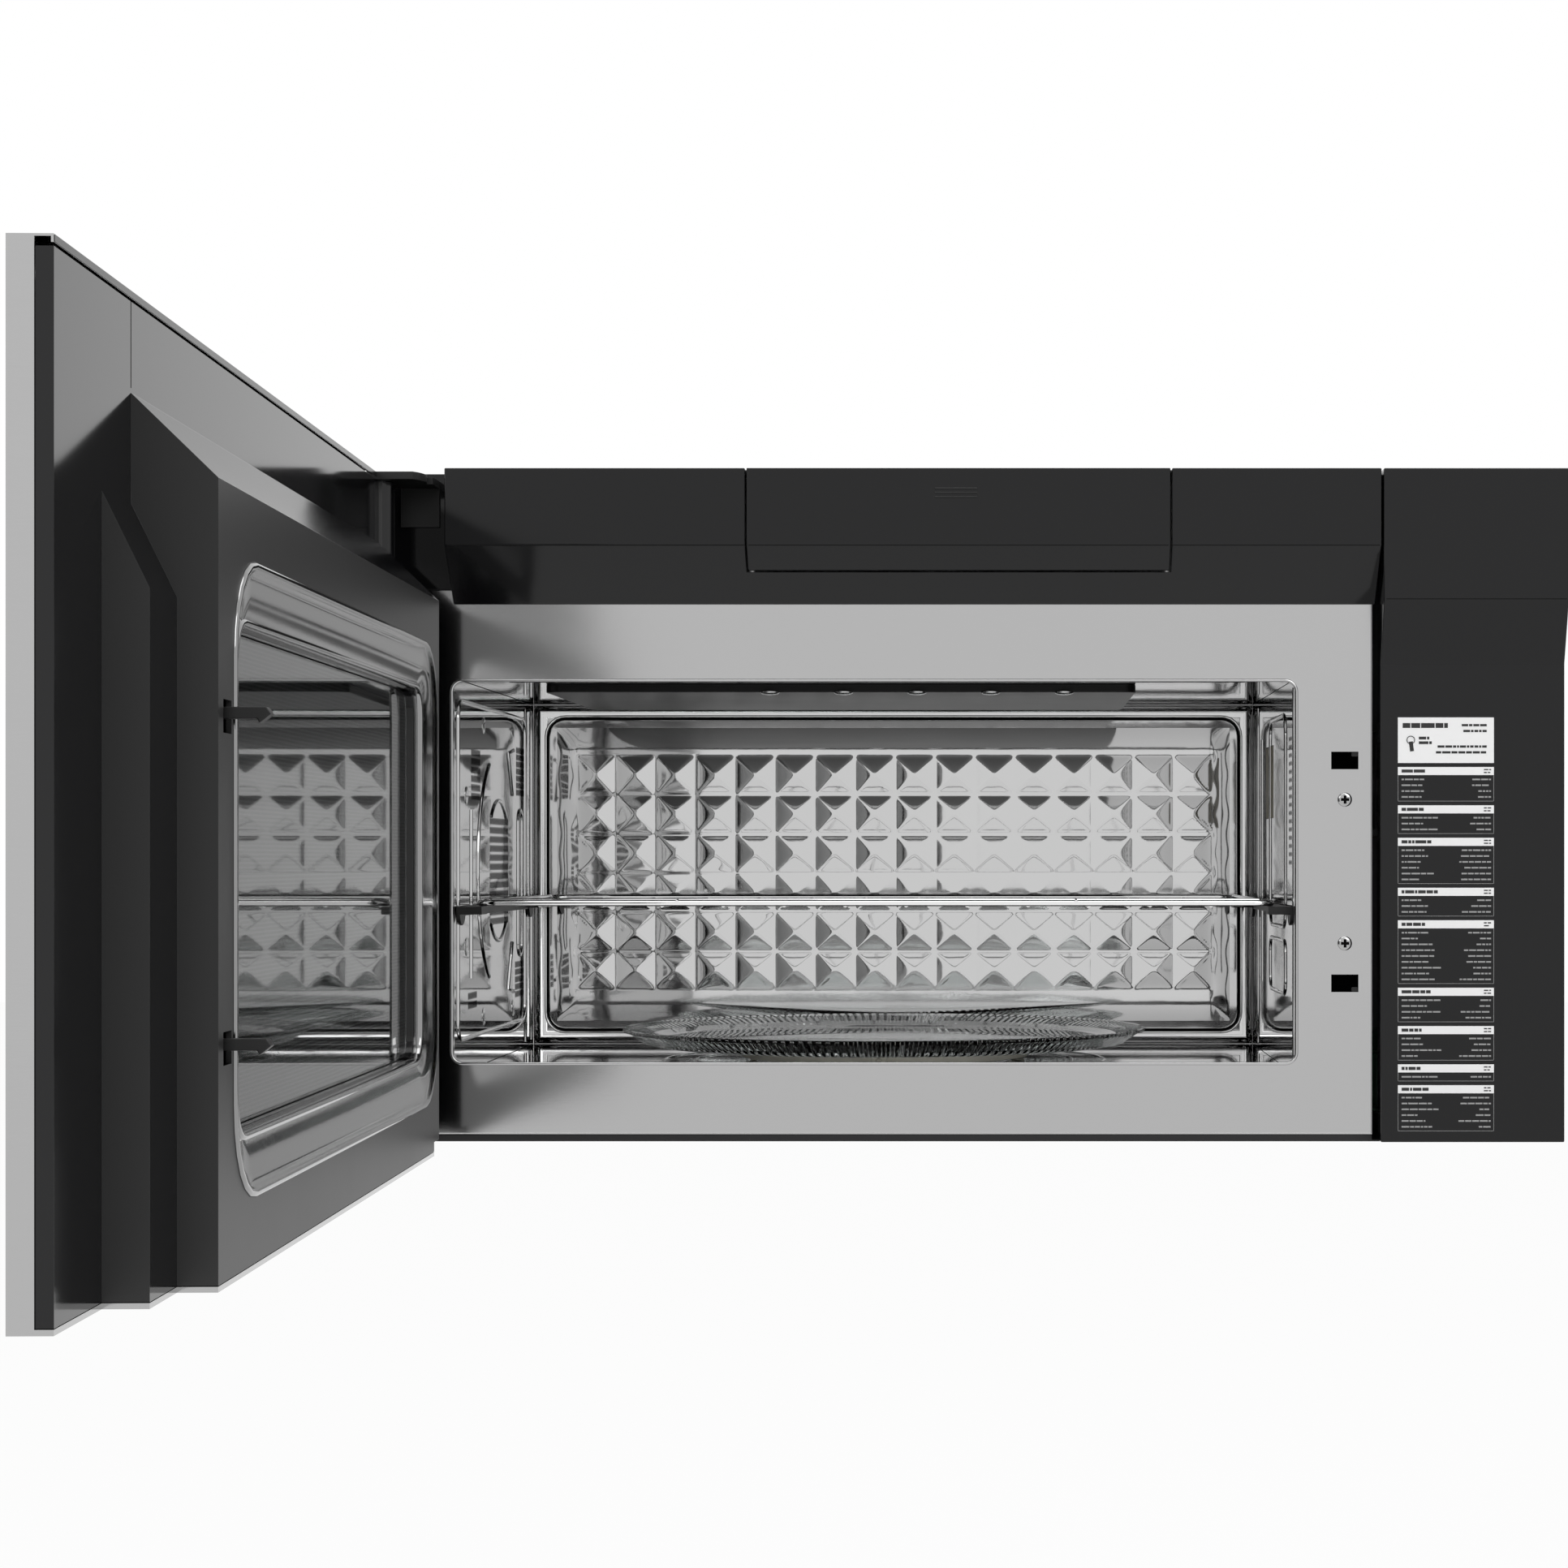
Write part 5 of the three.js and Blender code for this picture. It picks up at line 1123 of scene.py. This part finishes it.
def addCavityFloor():
    size = turntable
    z = cavity["floor"]
    sheet = cavitySheet("cavityFloor", z - cavity["sheet"], z)
    centre = at(size["x"], size["out"], z)
    radius = size["hole"] * mm
    bpy.ops.mesh.primitive_cylinder_add(vertices=40, radius=radius, depth=10 * mm, location=centre)
    cutter = bpy.context.active_object
    applyPlace(cutter)
    cutWith(sheet, cutter)
    smooth(sheet, 30)
    parts = [sheet]
    for radius in size["rings"]:
        ring = [at(size["x"] + x, size["out"] + y, z) for x, y in arcPoints(0, 0, radius, 0, 357, 119)]
        parts.append(ridge("ring", ring, size["ringWidth"], size["ringHeight"], 2, ring[0].z, True))
    dressAs(joinPieces("cavityFloor", parts), "cavity", "cavity_floor")


addCavityBack()
addSideWall("cavityLeftWall", "cavity_left_wall", leftWall, -1, cavity["slot"])
addSideWall("cavityRightWall", "cavity_right_wall", rightWall, 1, cavity["hole"])
roundedNode("feed_cover", "mica", 0.15, 1)
addCeiling()
addCavityFloor()
print("cavity done")


# turntable; numbers are mm, the profile is radius and height above the plate's underside
plate = {
    "underside": 50.7, "steps": 160,
    "profile": [
        (0, 4.5), (120, 4.5), (144, 4.7), (152, 5.4), (166, 10.3), (174, 11.4), (176.6, 11.9),
        (177.7, 11.4), (178, 10.3), (177.4, 9.3), (174, 8.5), (164, 1.6), (158, 0.4), (152, 0),
        (128, 0), (118, 0.4), (0, 0.4),
    ],
    "flutes": 190, "flutedFrom": 158.0, "strength": 0.9, "depth": 1.5,
}


# fine flutes pressed round the glass's sloping rim
def addFlutes():
    size = plate
    tree = materials["flutedGlass"].node_tree
    place = addNode(tree, "TexCoord")["Object"]
    middle = (-turntable["x"] * mm, turntable["out"] * mm, 0)
    moved = addNode(tree, "Mapping", {"Vector": place, "Location": middle})["Vector"]
    split = addNode(tree, "SeparateXYZ", {"Vector": moved})
    x, y = split["X"], split["Y"]
    turn = addMath(tree, "ARCTAN2", y, x)
    wave = addMath(tree, "SINE", addMath(tree, "MULTIPLY", turn, size["flutes"]))
    reach = addMath(tree, "SQRT", addMath(tree, "MULTIPLY_ADD", y, y, addMath(tree, "MULTIPLY", x, x)))
    height = addMath(tree, "MULTIPLY", wave, addMath(tree, "GREATER_THAN", reach, size["flutedFrom"] * mm))
    pressed = {"Strength": size["strength"], "Distance": size["depth"] * mm, "Height": height}
    normal = addNode(tree, "Bump", pressed)["Normal"]
    fillInputs(tree, tree.nodes["Principled BSDF"], {"Normal": normal})


def addPlate():
    size = plate
    centre = at(turntable["x"], turntable["out"], 0)
    profile = [(radius, size["underside"] + height) for radius, height in size["profile"]]
    disc = lathe("turntablePlate", profile, centre, bodyBottom, size["steps"])
    dressAs(disc, "flutedGlass", "turntable_plate")


roundedNode("roller_ring", "palePlastic", 0.5, 2)
roundedNode("turntable_coupler", "palePlastic", 0.4, 2)
for number in (1, 2, 3):
    roundedNode(f"roller_{number}", "palePlastic", 0.5, 2)
addFlutes()
addPlate()
print("turntable done")

# the rack: a loop, a second front wire above it, bars, a tie and two clips that hold both front wires
rack = {
    "left": -301.0, "right": 201.6, "front": 363.0, "back": 42.0, "z": 149.0, "corner": 12,
    "radius": 2.0, "thin": 1.4, "bars": 12,
    "secondOut": 357.0, "secondEnds": [(1, -26, 0.4), (2.5, -9, 1.2), (9, 0, 1.8)],
    "barDrop": 1.5, "tie": 200.0, "tieDrop": 2.2, "clips": [-174.8, 77.2], "clip": 1.5,
}


def addRack():
    size = rack
    left, right, z = size["left"], size["right"], size["z"]
    loop = roundedLoop(left, right, -size["front"], -size["back"], size["corner"], 8)
    parts = [wire("loop", [at(x, -y, z) for x, y in loop], size["radius"] * mm, True, 4)]
    front = size["secondOut"]
    second = [at(left + x, front + out, z + up) for x, out, up in size["secondEnds"]]
    second += [at(right - x, front + out, z + up) for x, out, up in reversed(size["secondEnds"])]
    thin = size["thin"] * mm
    parts.append(wire("second", second, thin, False, 3))
    step = (right - left) / (size["bars"] + 1)
    low = z - size["barDrop"]
    for index in range(size["bars"]):
        x = left + step * (index + 1)
        parts.append(wire("bar", [at(x, size["back"], low), at(x, front - 0.5, low)], thin, False, 2))
    tie = [at(x, size["tie"], z - size["tieDrop"]) for x in (left, right)]
    parts.append(wire("tie", tie, thin, False, 2))
    for x in size["clips"]:
        line = [at(x, front - 6, z + 1.8), at(x, size["front"] + 1.8, z + 0.4)]
        parts.append(wire("clip", line, size["clip"] * mm, False, 3))
    dressAs(joinPieces("wireRack", parts), "chrome", "wire_rack")


# the rests under the rack's corners are thin half-round tongues on a slim rail
rackRest = {"thick": 5.0, "keep": 2.2, "edge": 0.5}


# side is -1 on the left and 1 on the right; what lies towards the cavity is cut away under the tongue
def addRackRest(node, side):
    size = rackRest
    rest = copyOfNode(node, plainName(node))
    low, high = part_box(node)
    below = low - Vector((2, 1, 1)) * mm
    beyond = high + Vector((2, 2, -size["thick"])) * mm
    if side < 0:
        below.x = low.x + size["keep"] * mm
    else:
        beyond.x = high.x - size["keep"] * mm
    cutWith(rest, cube("under", below, beyond))
    bevelEdges(rest, size["edge"] * mm, 2)
    dressAs(rest, "mattBlack", node)


addRack()
addRackRest("rack_support_left", -1)
addRackRest("rack_support_right", 1)
print("rack done")


# door; numbers are mm from the hinge axis with the door shut, out towards the room
door = {
    "window": (46.0, 555.0, 58.0, 277.0), "corner": 14, "boxFace": -36.0,
    "pocketMargin": 27, "pocketFloor": -27.0, "linerEdge": 1.1, "skinEdge": 0.4,
}


# a face with the window's outline, looking into the cavity, ready to be extruded
def windowFace(name, margin, out):
    left, right, low, high = door["window"]
    path = roundedLoop(left - margin, right + margin, low - margin, high + margin, door["corner"] + margin)
    points = [onDoor(x, out, z) for x, z in path]
    piece = addMesh(name, points, [], [list(range(len(points)))[::-1]])
    if piece.data.polygons[0].normal.y < 0:
        piece.data.flip_normals()
    return piece


def windowSlab(name, margin, outBack, outFront):
    piece = windowFace(name, margin, outBack)
    editMode(piece, "FACE")
    bpy.ops.mesh.extrude_region_move(TRANSFORM_OT_translate={"value": (0, (outBack - outFront) * mm, 0)})
    bpy.ops.mesh.select_all(action="SELECT")
    bpy.ops.mesh.normals_make_consistent(inside=False)
    objectMode()
    return piece


def addDoorLiner():
    piece = copyOfNode("door_liner", "doorLiner")
    pocket = windowSlab("pocket", door["pocketMargin"], door["boxFace"] - 2, door["pocketFloor"])
    cutWith(piece, swingDoor(pocket), "EXACT")
    bevelEdges(piece, door["linerEdge"] * mm, 3, 28)
    dressAs(piece, "linerBlack", "door_liner")
    # the face round the window is satin, the steps' ends towards the room are dull and painted lighter as a
    # painted reflection, the rest is polished
    piece.data.materials.append(materials["satinBlack"])
    piece.data.materials.append(materials["linerEndPaintedReflection"])
    turn = Matrix.Rotation(openAngle, 4, "Z")
    for face in piece.data.polygons:
        shut = turn @ (face.center - Vector((hingeAxis.x, hingeAxis.y, 0)))
        facing = turn.to_3x3() @ face.normal
        if abs(shut.y + door["boxFace"] * mm) < 0.4 * mm and facing.y > 0.9:
            face.material_index = 1
        if facing.x > 0.95 and shut.y > 0.5 * mm:
            face.material_index = 2


# the skin's folded edge over the liner is covered by a dark strip of painted shade, and a fine seam runs up
# from the box's corner
linerTrim = {
    "hem": (-27.2, 729.2, 409.4, 412.3), "hemOut": (-0.2, -0.05), "corner": 0.6, "edge": 0.05,
    "seamX": 613.5, "seam": (372, 408), "width": 0.7, "height": 0.15,
}


def addLinerTrim():
    size = linerTrim
    left, right, low, high = size["hem"]
    back, front = size["hemOut"]
    corners = (onDoor(left, front, low), onDoor(right, back, high))
    strip = roundedPlate("doorHemShade", *corners, size["corner"], size["edge"])
    dressWith(swingDoor(strip), "hemPaintedShade", "door_skin")
    line = [onDoor(size["seamX"], 0, z) for z in size["seam"]]
    seam = ridge("doorLinerSeam", line, size["width"], size["height"], 1, line[0].y)
    dressWith(swingDoor(seam), "hole", "door_liner")


# inset and height above the box face, from the outer edge to the glass
windowTrim = {
    "margin": 30.0, "thick": 0.8,
    "steps": [
        (0.7, 1.0), (0.9, 1.5), (1.2, 1.5), (1.2, 1.0), (1.0, -0.2), (5, -0.9), (5, -1.9),
        (5, -3.1), (5, -4.5), (0.8, -3.7), (1.2, -3.4), (1.2, -3.9), (0.5, -4.8), (0.6, -12.6),
    ],
}


def addWindowTrim():
    size = windowTrim
    piece = windowFace("doorWindowTrim", size["margin"], door["boxFace"])
    editMode(piece, "FACE")
    height = 0
    for step, rise in size["steps"]:
        bpy.ops.mesh.inset(thickness=step * mm, depth=(rise - height) * mm, use_even_offset=True)
        height = rise
    bpy.ops.mesh.delete(type="FACE")
    objectMode()
    smooth(piece, 50)
    modify(piece, "SOLIDIFY", thickness=size["thick"] * mm, offset=-1)
    dressAs(swingDoor(piece), "trim", "door_window_trim")


# front glass with its touch keys; keys and marks are printed a hair above it
frontGlass = {
    "left": -5.7, "right": 708.2, "low": 22.3, "high": 387.7, "back": 14.0, "front": 18.0,
    "corner": 3.0, "edge": 0.6, "print": 0.08, "ink": 0.06, "dotMargin": 12,
    "display": (612, 692, 322, 352), "line": 0.5,
    "keys": "123456789 0", "keyLeft": 624.0, "keyTop": 214.0, "keyPitch": (24.0, 21.0), "digit": 9.0,
    "wideKeys": [(x, z) for z in (288, 268, 248, 118, 96, 74) for x in (624, 654, 684)],
    "dashes": [(2.2, 16), (-1.2, 10)], "dash": 1.0,
}


# one plain number, printed on the glass
def addDigit(label, place):
    size = frontGlass
    deselectAll()
    bpy.ops.object.text_add(location=place, rotation=(math.pi / 2, 0, 0))
    digit = bpy.context.active_object
    digit.data.body = label
    digit.data.align_x = "CENTER"
    digit.data.size = size["digit"] * mm
    digit.data.extrude = size["ink"] / 2 * mm
    bpy.ops.object.convert(target="MESH")
    digit = bpy.context.active_object
    applyPlace(digit)
    return digit


def addFrontGlass():
    size = frontGlass
    low = onDoor(size["left"], size["front"], size["low"])
    high = onDoor(size["right"], size["back"], size["high"])
    pane = roundedPlate("doorFrontGlass", low, high, size["corner"], size["edge"])
    dressAs(swingDoor(pane), "darkGlass", "door_front_glass")
    face = size["front"] + size["print"]
    dots = windowSlab("doorWindowDots", size["dotMargin"], face - size["ink"], face)
    dressWith(swingDoor(dots), "windowDots", "door_front_glass")

    marks = []
    for index, digit in enumerate(size["keys"]):
        if digit != " ":
            x = size["keyLeft"] + (index % 3) * size["keyPitch"][0]
            z = size["keyTop"] - (index // 3) * size["keyPitch"][1]
            marks.append(addDigit(digit, onDoor(x, face + 0.02, z)))
    ink = size["ink"]
    bars = [(x, z + up, width, size["dash"]) for x, z in size["wideKeys"] for up, width in size["dashes"]]
    x0, x1, z0, z1 = size["display"]
    bars += [((x0 + x1) / 2, z, x1 - x0, size["line"]) for z in (z0, z1)]
    bars += [(x, (z0 + z1) / 2, size["line"], z1 - z0) for x in (x0, x1)]
    places = [(onDoor(x, face, z), (width * mm, ink * mm, height * mm)) for x, z, width, height in bars]
    marks.append(stamped("dashes", unitCube(), places))
    dressWith(swingDoor(joinPieces("touchKeys", marks)), "labelGrey", "door_front_glass")


roundedNode("door_skin", "stainless", door["skinEdge"], 2)
addDoorLiner()
addLinerTrim()
addWindowTrim()
roundedNode("door_inner_glass", "paneGlass", 0.25, 2)
roundedNode("door_screen", "screen", 0.15, 1)
addFrontGlass()
roundedNode("door_latch", "mattBlack", 0.6, 2)
for end, endFinish in (("top", "mattBlack"), ("bottom", "galvanised")):
    roundedNode("hinge_bracket_" + end, endFinish, 0.4, 2)
    roundedNode("hinge_pin_" + end, "chrome", 0.6, 2)
print("door and hinges done")


# shell, wall plate and outlet keep the frame's own shapes with eased edges
shell = {
    "wall_mounting_plate": "galvanised", "rear_panel": "galvanised", "base_panel": "blackSheet",
    "side_panel_left": "blackSheet", "side_panel_right": "blackSheet", "top_panel": "blackSheet",
    "cord_gland": "mattBlack", "exhaust_adaptor": "galvanised", "exhaust_damper": "galvanised",
    # the latch housing seen through the slots takes the near-black hollow finish as painted shade
    "latch_housing": "hole",
}

# small pan heads that hold the shell together: x, out, z and the way each faces
shellScrew = {
    "radius": 3.6, "height": 1.4, "cross": 0.7, "reach": 2.1, "deep": 0.8,
    "outline": [(0, 1), (0.5, 0.93), (0.85, 0.6), (1, 0.1)], "foot": [(3.6, -0.3), (0, -0.3)],
    "places": {
        "leftSideScrews": ([(-379.5, out, z) for out in (40, 190, 340) for z in (16, 401)], (-1, 0, 0)),
        "rightSideScrews": ([(379.5, out, z) for out in (40, 190, 340) for z in (16, 401)], (1, 0, 0)),
        "topScrews": ([(x, out, 417.5) for x in (-360, -190, 190, 360) for out in (25, 350)], (0, 0, 1)),
        "baseScrews": ([(x, out, 0) for x in (-355, -20, 20, 355) for out in (25, 345)], (0, 0, -1)),
    },
}


def addShellScrews():
    size = shellScrew
    pattern = screwHead("screw", size, size["outline"], size["foot"], 24)
    for name, (places, axis) in size["places"].items():
        heads = [standAt(addObject(name, pattern.data.copy()), at(*place), axis) for place in places]
        dressWith(joinPieces(name, heads), "screwSteel", "side_panel_left")
    bpy.data.objects.remove(pattern)


# grease filters: an eased frame round a mesh, with a pull ring
greaseFilter = {
    "rim": 7.0, "corner": 4.0, "edge": 0.6, "lip": 1.2, "ring": 9.0, "ringWire": 1.1, "oval": 0.6,
    "ringShare": 1.6, "lap": 0.8, "meshCorner": 1.0, "meshEdge": 0.3,
}


def addGreaseFilter(node):
    size = greaseFilter
    name = plainName(node)
    low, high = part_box(node)
    rim = size["rim"] * mm
    lip = size["lip"] * mm
    frameRim = roundedPlate(name, low, high, size["corner"], 0, 2)
    cutWith(frameRim, cube("inner", low + Vector((rim, rim, -rim)), high + Vector((-rim, -rim, rim))))
    bevelEdges(frameRim, size["edge"] * mm, 2)
    middle = Vector(((low.x + high.x) / 2, low.y + size["ringShare"] * rim, low.z + lip))
    arc = arcPoints(0, 0, size["ring"] * mm, 0, 350, 30)
    loop = [middle + Vector((x, y * size["oval"], 0)) for x, y in arc]
    pull = wire("pull", loop, size["ringWire"] * mm, True, 3)
    dressAs(joinPieces(name, [frameRim, pull]), "filterMesh", node)
    inset = Vector((rim * size["lap"], rim * size["lap"], lip))
    panel = roundedPlate(name + "Mesh", low + inset, high - inset, size["meshCorner"], size["meshEdge"], 2)
    dressWith(panel, "greaseMesh", node)


# lens over the cooktop lamp, with pressed ribs
lampLens = {"corner": 5.0, "edge": 0.7, "ribs": 14, "rib": 3.2, "proud": 0.6, "margin": 9.0}


def addLampLens():
    size = lampLens
    low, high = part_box("cooktop_lamp_cover")
    parts = [roundedPlate("cooktopLampCover", low, high, size["corner"], size["edge"], 2)]
    edge = size["margin"] * mm
    step = (high.x - low.x - 2 * edge) / (size["ribs"] - 1)
    for index in range(size["ribs"]):
        line = [Vector((low.x + edge + index * step, y, high.z)) for y in (low.y + edge, high.y - edge)]
        parts.append(ridge("rib", line, size["rib"], size["proud"], 2, high.z))
    dressAs(joinPieces("cooktopLampCover", parts), "lens", "cooktop_lamp_cover")


# charcoal filter: granules in a black carrier with a lattice
charcoalFilter = {
    "rim": 6.0, "edge": 0.6, "lattice": 12, "bar": 1.2, "barIn": 1.4, "barMargin": 1.0,
    "lap": 0.8, "bedFront": 2.4, "bedBack": 1.0, "bedCorner": 2.0, "bedEdge": 0.8,
}


def addCharcoalFilter():
    size = charcoalFilter
    low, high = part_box("charcoal_filter")
    rim = size["rim"] * mm
    carrier = cube("charcoalFilter", low, high)
    cutWith(carrier, cube("inner", low + Vector((rim, -rim, rim)), high + Vector((-rim, rim, -rim))))
    bevelEdges(carrier, size["edge"] * mm, 2)
    parts = [carrier]
    step = (high.x - low.x) / size["lattice"]
    y = low.y + size["barIn"] * mm
    margin = size["barMargin"] * mm
    for index in range(1, size["lattice"]):
        line = [Vector((low.x + index * step, y, z)) for z in (low.z + margin, high.z - margin)]
        parts.append(wire("bar", line, size["bar"] * mm, False, 2))
    dressAs(joinPieces("charcoalFilter", parts), "mattBlack", "charcoal_filter")
    lap = rim * size["lap"]
    bedLow = low + Vector((lap, size["bedFront"] * mm, lap))
    bedHigh = high - Vector((lap, size["bedBack"] * mm, lap))
    panel = roundedPlate("charcoalBed", bedLow, bedHigh, size["bedCorner"], size["bedEdge"])
    dressWith(panel, "charcoal", "charcoal_filter")


for shellNode, shellFinish in shell.items():
    roundedNode(shellNode, shellFinish, 0.3, 2)
addShellScrews()
addGreaseFilter("grease_filter_left")
addGreaseFilter("grease_filter_right")
addLampLens()
addCharcoalFilter()
print("shell and filters done")

# machinery behind the walls keeps its shape, with eased edges where a tool or a mould would leave them
machinery = {
    "turntable_motor": "motorCase", "convection_housing": "galvanised", "convection_motor": "motorCase",
    "vent_blower_housing": "galvanised", "vent_blower_motor": "motorCase", "waveguide": "galvanised",
    "magnetron": "motorCase", "power_inverter": "circuit", "control_board": "circuit",
}
for machineNode, machineFinish in machinery.items():
    roundedNode(machineNode, machineFinish, 0.35, 1)
print("machinery done")
